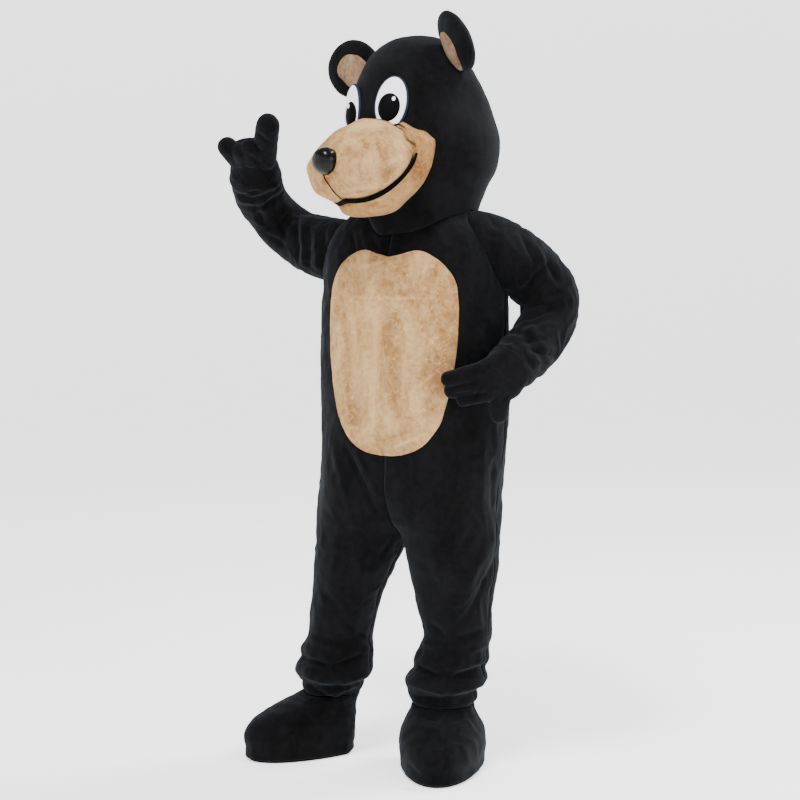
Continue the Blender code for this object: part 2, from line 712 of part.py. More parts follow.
def turn_about(axis, degrees):
    """A matrix that turns row vectors about one axis."""
    a = math.radians(degrees)
    c, s = math.cos(a), math.sin(a)
    grids = {
        "x": [[1, 0, 0], [0, c, s], [0, -s, c]],
        "y": [[c, 0, -s], [0, 1, 0], [s, 0, c]],
        "z": [[c, s, 0], [-s, c, 0], [0, 0, 1]],
    }
    return np.array(grids[axis])


HEAD_TURN = turn_about("y", -HEAD_ROLL) @ turn_about("z", -HEAD_YAW)


def head_place(points):
    return points @ HEAD_TURN + np.array(HEAD_POINT)


def head_point(turn, step, grow=0.0):
    """A point of the head's outer face in the head's frame: turn 0 is its left, a quarter its front."""
    turn, step = np.broadcast_arrays(np.asarray(turn, float), np.asarray(step, float))
    side, front, back, up = (smooth(step, HEAD["step"], HEAD[k]) for k in ("side", "front", "back", "up"))
    reach = np.where(np.sin(turn) > 0, front, back)
    rise = up * np.where(up > 0, 1 + grow / HEAD["up"][0], 1)
    x = np.maximum(side + grow, 0.0) * np.cos(turn)
    y = -np.maximum(reach + grow, 0.0) * np.sin(turn)
    return np.stack([x, y, rise], -1)


def hem_step(turns, grow):
    """For each turn, the step at which the head's wall comes down onto the shoulders."""
    last = HEAD["step"][-1]
    steps = np.linspace(7, last, 601)
    points = head_place(head_point(turns[:, None], steps[None, :], grow))
    inside = inside_body(points, HEM_CLEAR)
    for side in (1, -1):
        inside |= inside_sleeve(side, points, HEM_CLEAR)
    first = np.where(inside.any(1), np.argmax(inside, axis=1), steps.size)
    return steps[np.maximum(first - 1, 0)]


def head_rings(grow, reach_from=0.25):
    turns = np.arange(HEAD_TURNS) * 2 * math.pi / HEAD_TURNS
    hem = hem_step(turns, min(grow, 0.0))
    share = np.linspace(0, 1, HEAD_STEPS + 1)[:, None]
    steps = hem + (reach_from - hem) * share
    return head_point(turns + 0 * steps, steps, grow)


def head_tools():
    """A closed solid of the head a hair larger than it, which trims what sits on the head."""
    rings = head_rings(SEAM_GAP)
    below = rings[:1] - np.array([0, 0, 0.06])
    return closed_loft("head and hair", np.concatenate([below, rings]), place=head_place, cutter=True)


def head_shell():
    top = HEAD["up"][0]
    caps = [(0, 0, top), (0, 0, top - HEAD_WALL)]
    outer = head_rings(0.0)
    inner = head_rings(-HEAD_WALL, 0.9)
    grid_wall("head_shell", outer, inner, True, BLACK, 0.9, head_place, caps=caps)


head_shell()
HEAD_TRIM = head_tools()

# Muzzle, jaw and mouth lining, in the head's frame
MUZZLE_CENTRE = (0, -0.190, -0.011)
MUZZLE_AXES = (0.144, 0.154, 0.110, 0.106, 0.103)
MUZZLE_NOD = 18.0
JAW_CENTRE = (0, -0.128, 0.015)
JAW_AXES = (0.160, 0.208, 0.100, 0.089, 0.111)
JAW_NOD = 46.0
MUZZLE_SQUARE = 2.35
JAW_SQUARE = 2.15
LIP_GAP = 0.008
NOSE_SPOT = (0, -0.149, 0.037)
NOSE_AXES = (0.037, 0.024, 0.030, 0.028, 0.028)
LIP_SINK = 0.006


def grown(axes, by):
    return tuple(axis + by for axis in axes)


def muzzle_place(points):
    return head_place(points @ turn_about("x", MUZZLE_NOD) + np.array(MUZZLE_CENTRE))


def muzzle_blob(name, grow, **more):
    axes = grown(MUZZLE_AXES, grow)
    return blob(name, (0, 0, 0), axes, place=muzzle_place, square=MUZZLE_SQUARE, turns=20, **more)


def jaw_place(points):
    return head_place(points @ turn_about("x", JAW_NOD) + np.array(JAW_CENTRE))


def jaw_blob(name, grow, **more):
    axes = grown(JAW_AXES, grow)
    return blob(name, (0, 0, 0), axes, place=jaw_place, square=JAW_SQUARE, turns=18, **more)


def muzzle_and_jaw():
    muzzle = muzzle_blob("muzzle", 0, colour=TAN)
    combine(muzzle, "DIFFERENCE", muzzle_blob("muzzle hollow", -MUZZLE_WALL, cutter=True), HEAD_TRIM)
    near = muzzle_blob("muzzle and hair", SEAM_GAP, cutter=True)
    mouth = jaw_blob("mouth", -LIP_SINK, colour=BLACK)
    below = muzzle_blob("muzzle and lining", LIP_GAP - SEAM_GAP, cutter=True)
    combine(mouth, "INTERSECT", below)
    combine(mouth, "DIFFERENCE", near, HEAD_TRIM)
    jaw = jaw_blob("jaw", 0, colour=TAN)
    clear = muzzle_blob("muzzle and lip gap", LIP_GAP, cutter=True)
    combine(jaw, "DIFFERENCE", jaw_blob("jaw hollow", -MUZZLE_WALL, cutter=True), clear, HEAD_TRIM)
    nose = blob("nose", NOSE_SPOT, NOSE_AXES, (0.01, 0.01, 0.012), 0.15, muzzle_place, turns=14)
    combine(nose, "DIFFERENCE", near)
    return near, jaw_blob("jaw and hair", SEAM_GAP, cutter=True)


FACE_TRIMS = (HEAD_TRIM, *muzzle_and_jaw())

# Eyes: a white lens on the head and a black one on it
EYE_TURNS = {1: 24.0, -1: 19.5}
EYE_UP = 0.119
EYE_LEAN = 10.0
EYE_AXES = (0.042, 0.013, 0.02, 0.068, 0.066)
PUPIL_AXES = (0.036, 0.021, 0.02, 0.048, 0.048)
PUPIL_SHIFT = (-0.002, 0.0, -0.018)


def eye(side, word):
    turn = math.radians(90 - side * EYE_TURNS[side])
    steps = np.linspace(3, 6, 301)
    heights = head_point(turn, steps)[:, 2]
    spot = head_point(turn, steps[np.argmin(np.abs(heights - EYE_UP))])
    face = turn_about("y", side * EYE_LEAN) @ turn_about("x", -EYE_LEAN)
    face = face @ turn_about("z", side * EYE_TURNS[side])

    def place(points):
        return head_place(points @ face + spot)

    white = blob(f"eye_{word}", (0, 0, 0), EYE_AXES, WHITE, 0.4, place, turns=14)
    combine(white, "DIFFERENCE", *FACE_TRIMS)
    centre = (side * PUPIL_SHIFT[0], PUPIL_SHIFT[1], PUPIL_SHIFT[2])
    black = blob(f"pupil_{word}", centre, PUPIL_AXES, (0.01, 0.01, 0.012), 0.3, place, turns=12)
    size = grown(EYE_AXES, SEAM_GAP)
    trim = blob(f"eye and hair {word}", (0, 0, 0), size, place=place, cutter=True, turns=14)
    combine(black, "DIFFERENCE", trim, *FACE_TRIMS)


eye(1, "left")
eye(-1, "right")

# Ears: a stuffed dark ear on the head and a tan pad on its front
EAR_SPOTS = {1: (0.174, -0.034, 0.258), -1: (0.190, -0.036, 0.249)}
EAR_TILTS = {1: 30.0, -1: 48.0}
EAR_INWARD = 14.0
EAR_AXES = (0.071, 0.024, 0.028, 0.076, 0.080)
INNER_EAR_SPOT = (0, -0.010, -0.004)
INNER_EAR_AXES = (0.046, 0.018, 0.018, 0.052, 0.052)


def ear(side, word):
    lean = turn_about("z", -side * EAR_INWARD) @ turn_about("y", side * EAR_TILTS[side])

    out, along_y, up = EAR_SPOTS[side]

    def place(points):
        return head_place(points @ lean + np.array([side * out, along_y, up]))

    dark = blob(f"ear_{word}", (0, 0, 0), EAR_AXES, BLACK, 0.9, place, turns=16)
    combine(dark, "DIFFERENCE", HEAD_TRIM)
    pad = blob(f"inner_ear_{word}", INNER_EAR_SPOT, INNER_EAR_AXES, TAN, 0.85, place, turns=14)
    size = grown(EAR_AXES, SEAM_GAP)
    trim = blob(f"ear and hair {word}", (0, 0, 0), size, place=place, cutter=True, turns=16)
    combine(pad, "DIFFERENCE", trim, HEAD_TRIM)


ear(1, "left")
ear(-1, "right")

# Zip at the centre back: tape and teeth in one, a slider, and a pull tab that swings on it
TAPE_HALF = 0.013
TAPE_SUNK = 0.0046
TAPE_THICK = 0.0012
TEETH_HALF = 0.0025
SLIDER_Z = 1.375
SLIDER_HALF = (0.0055, 0.0075)
PIN_OUT = 0.0078
PIN_RADIUS = 0.0009
LUG_SPAN = (0.0033, 0.0048)
TAB_NECK_HALF = 0.0028
TAB_HALF = 0.004
TAB_THICK = 0.0014
TAB_NECK_LONG = 0.008
TAB_LONG = 0.032
EYE_RADIUS = 0.0026
BORE_RADIUS = 0.0012


def back_line(z):
    return body_point(1, np.array(1.5 * math.pi), np.array(z))[1]


def zip_tape():
    levels = LEVELS[(LEVELS > ZIP_LOW + 0.02) & (LEVELS < ZIP_HIGH - 0.02)]
    rings = []
    for z in levels:
        y = back_line(z)
        outer, inner, tooth = y - TAPE_SUNK, y - TAPE_SUNK - TAPE_THICK, y
        row = [(-TAPE_HALF, inner), (TAPE_HALF, inner), (TAPE_HALF, outer), (TEETH_HALF, outer)]
        row += [(TEETH_HALF, tooth), (-TEETH_HALF, tooth), (-TEETH_HALF, outer), (-TAPE_HALF, outer)]
        rings.append([(x, depth, z) for x, depth in row])
    add_prism("zip_tape", np.array(rings), BLACK, 0.7)


def add_prism(name, rings, colour=(0, 0, 0), roughness=0.4, cutter=False):
    """Rings of the same outline joined one to the next, with flat ends."""
    rows, columns = rings.shape[:2]
    faces = [tuple(range(columns))[::-1], tuple(range((rows - 1) * columns, rows * columns))]
    for r in range(rows - 1):
        for c in range(columns):
            a = r * columns + c
            b = r * columns + (c + 1) % columns
            faces.append((a, b, b + columns, a + columns))
    return add_object(name, rings.reshape(-1, 3), faces, colour, roughness, cutter=cutter)


def block(name, low, high, colour=METAL, cutter=False):
    (x0, y0, z0), (x1, y1, z1) = low, high
    rings = [[(x0, y0, z), (x1, y0, z), (x1, y1, z), (x0, y1, z)] for z in (z0, z1)]
    return add_prism(name, np.array(rings), colour, cutter=cutter)


def rod(name, y, z, radius, half, colour=METAL, cutter=False):
    turn = np.arange(12) * 2 * math.pi / 12
    round_y = y + radius * np.cos(turn)
    round_z = z + radius * np.sin(turn)
    rings = [np.stack([np.full(12, x), round_y, round_z], -1) for x in (-half, half)]
    return add_prism(name, np.array(rings), colour, cutter=cutter)


def slider_and_tab():
    half_x, half_z = SLIDER_HALF
    rings = []
    for z in (SLIDER_Z - half_z, SLIDER_Z + half_z):
        y = back_line(z)
        low, high = y + 0.0005, y + 0.0040
        rings.append([(-half_x, low, z), (half_x, low, z), (half_x, high, z), (-half_x, high, z)])
    slider = add_prism("zip_slider", np.array(rings), METAL)
    pin = back_line(SLIDER_Z) + PIN_OUT
    for side in (1, -1):
        x0, x1 = sorted((side * LUG_SPAN[0], side * LUG_SPAN[1]))
        low = (x0, pin - 0.0055, SLIDER_Z - 0.004)
        high = (x1, pin + 0.0017, SLIDER_Z + 0.004)
        combine(slider, "UNION", block(f"lug {side}", low, high, cutter=True))
    combine(slider, "UNION", rod("pin", pin, SLIDER_Z, PIN_RADIUS, LUG_SPAN[1] - 0.0003, cutter=True))
    tab = rod("zip_tab", pin, SLIDER_Z, EYE_RADIUS, TAB_NECK_HALF)
    y0, y1 = pin - TAB_THICK / 2, pin + TAB_THICK / 2
    neck_half = TAB_NECK_HALF - 0.0001
    shoulder = SLIDER_Z - TAB_NECK_LONG
    neck = block("neck", (-neck_half, y0, shoulder), (neck_half, y1, SLIDER_Z), cutter=True)
    low = (-TAB_HALF, y0, SLIDER_Z - TAB_LONG)
    plate = block("plate", low, (TAB_HALF, y1, shoulder + 0.0005), cutter=True)
    combine(tab, "UNION", neck, plate)
    combine(tab, "DIFFERENCE", rod("bore", pin, SLIDER_Z, BORE_RADIUS, 0.01, cutter=True))


zip_tape()
slider_and_tab()
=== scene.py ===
# %% [markdown]
# A bear mascot costume, dressed. The imported model is the frame: every piece below stands on it, in
# metres, with the origin where the wearer's shoulders carry the suit. The frame is loaded first.

# %% The frame
import math

import bmesh
import bpy
import numpy as np
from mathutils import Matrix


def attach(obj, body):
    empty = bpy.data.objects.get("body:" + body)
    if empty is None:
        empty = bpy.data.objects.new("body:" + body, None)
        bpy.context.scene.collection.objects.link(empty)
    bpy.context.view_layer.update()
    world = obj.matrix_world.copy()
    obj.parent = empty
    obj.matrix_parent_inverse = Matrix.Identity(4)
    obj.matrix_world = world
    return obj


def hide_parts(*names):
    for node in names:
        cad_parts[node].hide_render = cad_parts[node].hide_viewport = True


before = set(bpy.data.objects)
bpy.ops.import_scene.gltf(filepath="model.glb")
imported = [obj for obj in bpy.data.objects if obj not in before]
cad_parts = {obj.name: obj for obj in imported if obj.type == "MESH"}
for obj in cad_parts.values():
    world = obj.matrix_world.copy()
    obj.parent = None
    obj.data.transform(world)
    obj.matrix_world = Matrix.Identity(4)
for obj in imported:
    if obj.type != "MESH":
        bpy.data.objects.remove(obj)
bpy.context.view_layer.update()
SUIT = "costume"
HELD_HEIGHT = 1.44

# %% [markdown]
# The camera comes next, since some folds are placed by where they show in the picture. It stands
# to the suit's left at eye height, tipped a little down, with a long lens. The same numbers give
# picture(), which finds the pixel of any point in an 800 pixel square.

# %% The camera
FOCAL_PIXELS = 1940.0
PICTURE = 800.0
SENSOR_WIDTH = 36.0
EYE = np.array([1.998, -4.584, 0.11])
CAMERA_TURN = math.radians(24)
CAMERA_PITCH = math.radians(6.6)


def add_camera():
    """Lens = focal length in pixels / pixels across x sensor width, in mm."""
    data = bpy.data.cameras.new("camera")
    data.sensor_width = SENSOR_WIDTH
    data.lens = FOCAL_PIXELS / PICTURE * data.sensor_width
    camera = bpy.data.objects.new("camera", data)
    camera.location = EYE
    camera.rotation_euler = (math.pi / 2 - CAMERA_PITCH, 0, CAMERA_TURN)
    bpy.context.scene.collection.objects.link(camera)
    bpy.context.scene.camera = camera


def camera_axes():
    """Right, up and forward of the camera as unit vectors."""
    s, c = math.sin(CAMERA_TURN), math.cos(CAMERA_TURN)
    level = math.cos(CAMERA_PITCH)
    ahead = np.array([-s * level, c * level, -math.sin(CAMERA_PITCH)])
    right = np.array([c, s, 0.0])
    return right, np.cross(right, ahead), ahead


def picture(points):
    """Pixel of each point: focal length x sideways distance / distance ahead, from the centre."""
    right, up, ahead = camera_axes()
    away = points - EYE
    depth = away @ ahead
    x = PICTURE / 2 + FOCAL_PIXELS * (away @ right) / depth
    y = PICTURE / 2 - FOCAL_PIXELS * (away @ up) / depth
    return np.stack([x, y], -1)


add_camera()
print("camera: the origin shows at pixel", picture(np.zeros(3)).round(1))

# %% [markdown]
# A studio: a pale floor that curves up all round into a bowl, so no view shows its edge. One
# large soft light hangs high on the camera's left, a weaker one stands low on its right, and a
# third shines from behind along the edges. A pale world keeps detail in the black plush's shadows.

# %% Floor and lights
FLOOR_REACH = 8.0
WALL_BEND = 4.0
WALL_TOP = 2.0
FLOOR_STEPS = 12
BEND_STEPS = 17
FLOOR_TURNS = 96
FLOOR_GLOW = 1.0
WORLD_COLOUR = (0.95, 0.97, 1.0, 1)
WORLD_STRENGTH = 0.55
LIT_POINT = (0, 0, -0.3)
LIGHTS = (
    ("key", (0.0, -2.6, 4.4), 1.5, 430.0),
    ("fill", (4.2, -1.6, 1.6), 2.2, 70.0),
    ("rim", (2.2, 2.4, 3.6), 1.6, 300.0),
)


def plain_material(name, colour, roughness):
    """A Principled material with one colour and one roughness."""
    material = bpy.data.materials.new(name)
    material.use_nodes = True
    shader = material.node_tree.nodes["Principled BSDF"]
    shader.inputs["Base Color"].default_value = (*colour, 1)
    shader.inputs["Roughness"].default_value = roughness
    return material


def add_floor():
    """A round bowl: a flat profile, then a quarter circle up, turned about the middle."""
    turn = full_turn(FLOOR_TURNS)[None, :]
    bend = np.linspace(0, math.pi / 2, BEND_STEPS)
    flat = np.linspace(0, FLOOR_REACH, FLOOR_STEPS)[:-1]
    reach = np.concatenate([flat, FLOOR_REACH + WALL_BEND * np.sin(bend)])[:, None]
    top = WALL_TOP * (bend == bend[-1])
    rise = np.concatenate([0 * flat, WALL_BEND * (1 - np.cos(bend)) + top])[:, None]
    x, y = reach * np.cos(turn), reach * np.sin(turn)
    points = np.stack([x, y, rise + 0 * turn - HELD_HEIGHT], -1)
    white = plain_material("floor", (0.95, 0.95, 0.95), 0.9)
    glow = white.node_tree.nodes["Principled BSDF"].inputs
    glow["Emission Color"].default_value = (1, 1, 1, 1)
    glow["Emission Strength"].default_value = FLOOR_GLOW
    grid_object("floor", points, True, white)


def add_lights():
    """Discs turned to one point: tilt = arc cosine of the height above it / the distance."""
    for name, place, size, power in LIGHTS:
        data = bpy.data.lights.new(name, "AREA")
        data.shape = "DISK"
        data.size = size
        data.energy = power
        lamp = bpy.data.objects.new(name, data)
        lamp.location = place
        away = np.array(place) - np.array(LIT_POINT)
        tilt = math.acos(away[2] / np.linalg.norm(away))
        lamp.rotation_euler = (tilt, 0, math.atan2(away[1], away[0]) + math.pi / 2)
        bpy.context.scene.collection.objects.link(lamp)
    world = bpy.data.worlds.new("studio")
    world.use_nodes = True
    sky = world.node_tree.nodes["Background"].inputs
    sky["Color"].default_value = WORLD_COLOUR
    sky["Strength"].default_value = WORLD_STRENGTH
    bpy.context.scene.world = world


# %% [markdown]
# Every cloth piece is a grid of points, rows by columns. These helpers turn a grid into a mesh,
# and give it a wall by setting a second grid a little inside the first and joining their edges.

# %% Grids into meshes
def full_turn(count):
    """Even angles once round: step x 2 pi / count."""
    return np.arange(count) * 2 * math.pi / count


def grid_faces(rows, columns, around):
    """Squares of a grid, and the last column meets the first on a tube."""
    steps = columns if around else columns - 1
    r, c = np.meshgrid(np.arange(rows - 1), np.arange(steps), indexing="ij")
    a = r * columns + c
    b = r * columns + (c + 1) % columns
    return np.stack([a, b, b + columns, a + columns], -1).reshape(-1, 4)


def mesh_object(name, points, faces, material):
    """A mesh from arrays of points, in the row frame, and of faces with four or three corners."""
    mesh = bpy.data.meshes.new(name)
    mesh.vertices.add(len(points))
    mesh.vertices.foreach_set("co", np.asarray(points, np.float32).ravel())
    corners = np.concatenate([np.asarray(f).ravel() for f in faces])
    sizes = np.concatenate([np.full(len(f), np.shape(f)[1]) for f in faces])
    mesh.loops.add(len(corners))
    mesh.loops.foreach_set("vertex_index", corners.astype(np.int32))
    mesh.polygons.add(len(sizes))
    mesh.polygons.foreach_set("loop_start", (np.cumsum(sizes) - sizes).astype(np.int32))
    mesh.update(calc_edges=True)
    mesh.polygons.foreach_set("use_smooth", np.ones(len(sizes), bool))
    mesh.materials.append(material)
    item = bpy.data.objects.new(name, mesh)
    bpy.context.scene.collection.objects.link(item)
    return item


def grid_object(name, points, around, material):
    """A grid as an open mesh."""
    rows, columns = points.shape[:2]
    return mesh_object(name, points.reshape(-1, 3), [grid_faces(rows, columns, around)], material)


def grid_normals(points, around):
    """Unit cross product of the slopes along the rows and the columns."""
    if around:
        across = np.roll(points, -1, 1) - np.roll(points, 1, 1)
    else:
        across = np.gradient(points, axis=1)
    normal = np.cross(across, np.gradient(points, axis=0))
    return normal / np.maximum(np.linalg.norm(normal, axis=-1, keepdims=True), 1e-12)


def outward_normals(points, around, middle=None):
    """Grid normals, all turned over if they point towards the middle on the whole."""
    normals = grid_normals(points, around)
    middle = points.mean((0, 1)) if middle is None else middle
    return normals * np.sign((normals * (points - middle)).sum())


def longest(points, axis):
    """Length of the longest grid line along an axis."""
    return float(np.linalg.norm(np.diff(points, axis=axis), axis=-1).sum(axis).max())


def grid_area(points, around):
    """Sum of the squares' areas, each half the cross product of its diagonals."""
    if around:
        points = np.concatenate([points, points[:, :1]], 1)
    one = points[1:, 1:] - points[:-1, :-1]
    two = points[1:, :-1] - points[:-1, 1:]
    return float(np.linalg.norm(np.cross(one, two), axis=-1).sum() / 2)


def wall_object(name, outer, inner, around, material):
    """The outer grid, the inner one turned inside out, and strips round their free edges."""
    rows, columns = outer.shape[:2]
    count = rows * columns
    skin = grid_faces(rows, columns, around)
    faces = [skin, count + skin[:, ::-1]]
    first = np.arange(columns)
    if not around:
        side = np.arange(rows) * columns
        faces.append(np.stack([side[:-1], side[1:], count + side[1:], count + side[:-1]], -1))
        far = side + columns - 1
        faces.append(np.stack([far[:-1], count + far[:-1], count + far[1:], far[1:]], -1))
        first = first[:-1]
    after = (first + 1) % columns
    faces.append(np.stack([first, count + first, count + after, after], -1))
    last, next_last = (rows - 1) * columns + first, (rows - 1) * columns + after
    faces.append(np.stack([last, next_last, count + next_last, count + last], -1))
    points = np.concatenate([outer.reshape(-1, 3), inner.reshape(-1, 3)])
    return outward(mesh_object(name, points, faces, material))


def outward(item):
    """Turns a closed mesh the right way out: its signed volume must be above zero."""
    work = bmesh.new()
    work.from_mesh(item.data)
    if work.calc_volume(signed=True) < 0:
        bmesh.ops.reverse_faces(work, faces=work.faces)
    work.to_mesh(item.data)
    work.free()
    return item


def settle(item):
    """Makes the result of an object's modifiers its own mesh."""
    bpy.context.view_layer.update()
    graph = bpy.context.evaluated_depsgraph_get()
    done = bpy.data.meshes.new_from_object(item.evaluated_get(graph))
    item.modifiers.clear()
    old = item.data
    item.data = done
    bpy.data.meshes.remove(old)
    done.polygons.foreach_set("use_smooth", np.ones(len(done.polygons), bool))
    return item


def cut(item, operation, *tools):
    """Joins or cuts with closed meshes and keeps the result."""
    for tool in tools:
        step = item.modifiers.new("cut", "BOOLEAN")
        step.operation = operation
        step.solver = "EXACT"
        step.object = tool
    return settle(item)


def soften(item, voxel, rounds):
    """Small cubes rebuild a closed mesh evenly, and smoothing rounds its edges as stuffing does."""
    remesh = item.modifiers.new("remesh", "REMESH")
    remesh.mode = "VOXEL"
    remesh.voxel_size = voxel
    smooth_edges = item.modifiers.new("smooth", "SMOOTH")
    smooth_edges.factor = 0.5
    smooth_edges.iterations = rounds
    return settle(item)


def discard(*items):
    """Removes helper objects."""
    for item in items:
        bpy.data.objects.remove(item)


add_floor()
add_lights()
print("studio: floor and", len(LIGHTS), "lights")

# %% [markdown]
# Plush is a knitted cloth with a short dense pile. It shows three things: patches where the pile
# was brushed another way, a fine grain of single tufts, and a soft pale edge where the pile is
# seen side on. The first two come from one node group, nap, used by every plush material with
# its own sizes. The pale edge is the shader's own sheen.

# %% The nap node group
def socket(group, name, way, kind, value=None):
    """One input or output of a node group."""
    made = group.interface.new_socket(name=name, in_out=way, socket_type=kind)
    if value is not None:
        made.default_value = value
    return made


def add_node(nodes, kind, values=(), **settings):
    """A shader node with its settings, then the values of its unlinked inputs."""
    made = nodes.new("ShaderNode" + kind)
    for key, value in settings.items():
        setattr(made, key, value)
    for key, value in dict(values).items():
        made.inputs[key].default_value = value
    return made


def wire(tree, wires):
    """Links (from node, its output, to node, its input), one to a row."""
    for source, output, target, place in wires:
        tree.links.new(source.outputs[output], target.inputs[place])


def nap_group():
    """Tone = 0.6 x wide patches + 0.4 x small ones; Pile = tuft noise + a little of the patches;
    Crease = 1 on thin wandering lines, where a third noise passes its middle value."""
    group = bpy.data.node_groups.new("nap", "ShaderNodeTree")
    socket(group, "Vector", "INPUT", "NodeSocketVector")
    socket(group, "Patch scale", "INPUT", "NodeSocketFloat", 14.0)
    socket(group, "Tuft scale", "INPUT", "NodeSocketFloat", 420.0)
    socket(group, "Tone", "OUTPUT", "NodeSocketFloat")
    socket(group, "Pile", "OUTPUT", "NodeSocketFloat")
    socket(group, "Crease", "OUTPUT", "NodeSocketFloat")
    nodes = group.nodes
    start, end = nodes.new("NodeGroupInput"), nodes.new("NodeGroupOutput")
    fall = add_node(nodes, "Mapping", {"Scale": (1.0, 1.0, 0.45)})
    patch = add_node(nodes, "TexNoise", {"Detail": 3.0, "Roughness": 0.6, "Distortion": 0.6})
    more = add_node(nodes, "Math", {1: 5.0}, operation="MULTIPLY")
    small = add_node(nodes, "TexNoise", {"Detail": 4.0, "Roughness": 0.65})
    tuft = add_node(nodes, "TexNoise", {"Detail": 2.0, "Roughness": 0.7})
    tone = add_node(nodes, "Mix", {"Factor": 0.4})
    spread = add_node(nodes, "MapRange", {"From Min": 0.38, "From Max": 0.62})
    pile = add_node(nodes, "Mix", {"Factor": 0.35})
    bent = add_node(nodes, "TexNoise", {"Detail": 1.5, "Distortion": 2.2})
    from_middle = add_node(nodes, "Math", {1: 0.5}, operation="SUBTRACT")
    away = add_node(nodes, "Math", operation="ABSOLUTE")
    ends = {"From Min": 0.0, "From Max": 0.012, "To Min": 1.0, "To Max": 0.0}
    crease = add_node(nodes, "MapRange", ends)
    wires = (
        (start, "Vector", fall, "Vector"),
        (fall, "Vector", patch, "Vector"),
        (start, "Patch scale", patch, "Scale"),
        (start, "Patch scale", more, 0),
        (start, "Vector", small, "Vector"),
        (more, 0, small, "Scale"),
        (start, "Vector", tuft, "Vector"),
        (start, "Tuft scale", tuft, "Scale"),
        (patch, "Fac", tone, "A"),
        (small, "Fac", tone, "B"),
        (tone, "Result", spread, "Value"),
        (tuft, "Fac", pile, "A"),
        (small, "Fac", pile, "B"),
        (start, "Vector", bent, "Vector"),
        (start, "Patch scale", bent, "Scale"),
        (bent, "Fac", from_middle, 0),
        (from_middle, 0, away, 0),
        (away, 0, crease, "Value"),
        (spread, "Result", end, "Tone"),
        (pile, "Result", end, "Pile"),
        (crease, "Result", end, "Crease"),
    )
    wire(group, wires)
    return group


NAP = nap_group()
print("nap group:", [s.name for s in NAP.interface.items_tree])

# %% [markdown]
# One recipe makes every plush: the nap's tone picks between a deep and a raised colour, and its
# pile drives a bump. Sheen, its roughness and its tint are the same all over, so they are set on
# the shader's own sockets.

# %% Plush materials
PILE_ROUGHNESS = 0.92
PILE_HEIGHT = 0.002
SHEEN_ROUGHNESS = 0.45
PLUSH_SPECULAR = 0.06
PALE_GAIN = 1.25
STITCH_COLOUR = (0.006, 0.006, 0.008, 1)
MOTTLE_SCALE = 160.0


def plush(name, deep, raised, patch, tuft, bump, sheen, tint, crease):
    """Base colour = deep to raised by tone, then paler on creases and on the pale lines, which are
    painted highlights where folds, seams and edges catch the light, then nearly black on painted
    stitch lines."""
    material = plain_material(name, deep, PILE_ROUGHNESS)
    nodes = material.node_tree.nodes
    shader = nodes["Principled BSDF"]
    shader.inputs["Sheen Weight"].default_value = sheen
    shader.inputs["Sheen Roughness"].default_value = SHEEN_ROUGHNESS
    shader.inputs["Sheen Tint"].default_value = (*tint, 1)
    shader.inputs["Specular IOR Level"].default_value = PLUSH_SPECULAR
    place = add_node(nodes, "TexCoord")
    nap = add_node(nodes, "Group", {"Patch scale": patch, "Tuft scale": tuft}, node_tree=NAP)
    mixed = {"A": (*deep, 1), "B": (*raised, 1)}
    colour = add_node(nodes, "Mix", mixed, data_type="RGBA")
    faint = add_node(nodes, "Math", {1: crease}, operation="MULTIPLY")
    # painted highlights: the pale attribute lightens lines where folds, seams and edges catch the
    # light
    pale = add_node(nodes, "Attribute", attribute_name="pale")
    both = add_node(nodes, "Math", use_clamp=True)
    crease_highlight_colour = (*[min(value * PALE_GAIN, 1.0) for value in raised], 1)
    crease_highlight_mix = add_node(nodes, "Mix", data_type="RGBA")
    crease_highlight_mix.inputs["B"].default_value = crease_highlight_colour
    line = add_node(nodes, "Attribute", attribute_name="line")
    stitched = add_node(nodes, "Mix", {"B": STITCH_COLOUR}, data_type="RGBA")
    relief = add_node(nodes, "Bump", {"Strength": bump, "Distance": PILE_HEIGHT})
    wires = (
        (place, "Object", nap, "Vector"),
        (nap, "Tone", colour, "Factor"),
        (nap, "Crease", faint, 0),
        (faint, 0, both, 0),
        (pale, "Fac", both, 1),
        (both, 0, crease_highlight_mix, "Factor"),
        (colour, "Result", crease_highlight_mix, "A"),
        (line, "Fac", stitched, "Factor"),
        (crease_highlight_mix, "Result", stitched, "A"),
        (stitched, "Result", shader, "Base Color"),
        (nap, "Pile", relief, "Height"),
        (relief, "Normal", shader, "Normal"),
    )
    wire(material.node_tree, wires)
    return material


def smooth_finish(name, colour, roughness, specular=0.25, metallic=0.0):
    """A hard or tightly woven finish: roughness x 0.85 to 1.2 by a fine noise."""
    material = plain_material(name, colour, roughness)
    nodes = material.node_tree.nodes
    shader = nodes["Principled BSDF"]
    shader.inputs["Metallic"].default_value = metallic
    shader.inputs["Specular IOR Level"].default_value = specular
    place = add_node(nodes, "TexCoord")
    noise = add_node(nodes, "TexNoise", {"Scale": MOTTLE_SCALE})
    ends = {"To Min": roughness * 0.85, "To Max": min(roughness * 1.2, 1.0)}
    spread = add_node(nodes, "MapRange", ends)
    wires = (
        (place, "Object", noise, "Vector"),
        (noise, "Fac", spread, "Value"),
        (spread, "Result", shader, "Roughness"),
    )
    wire(material.node_tree, wires)
    return material


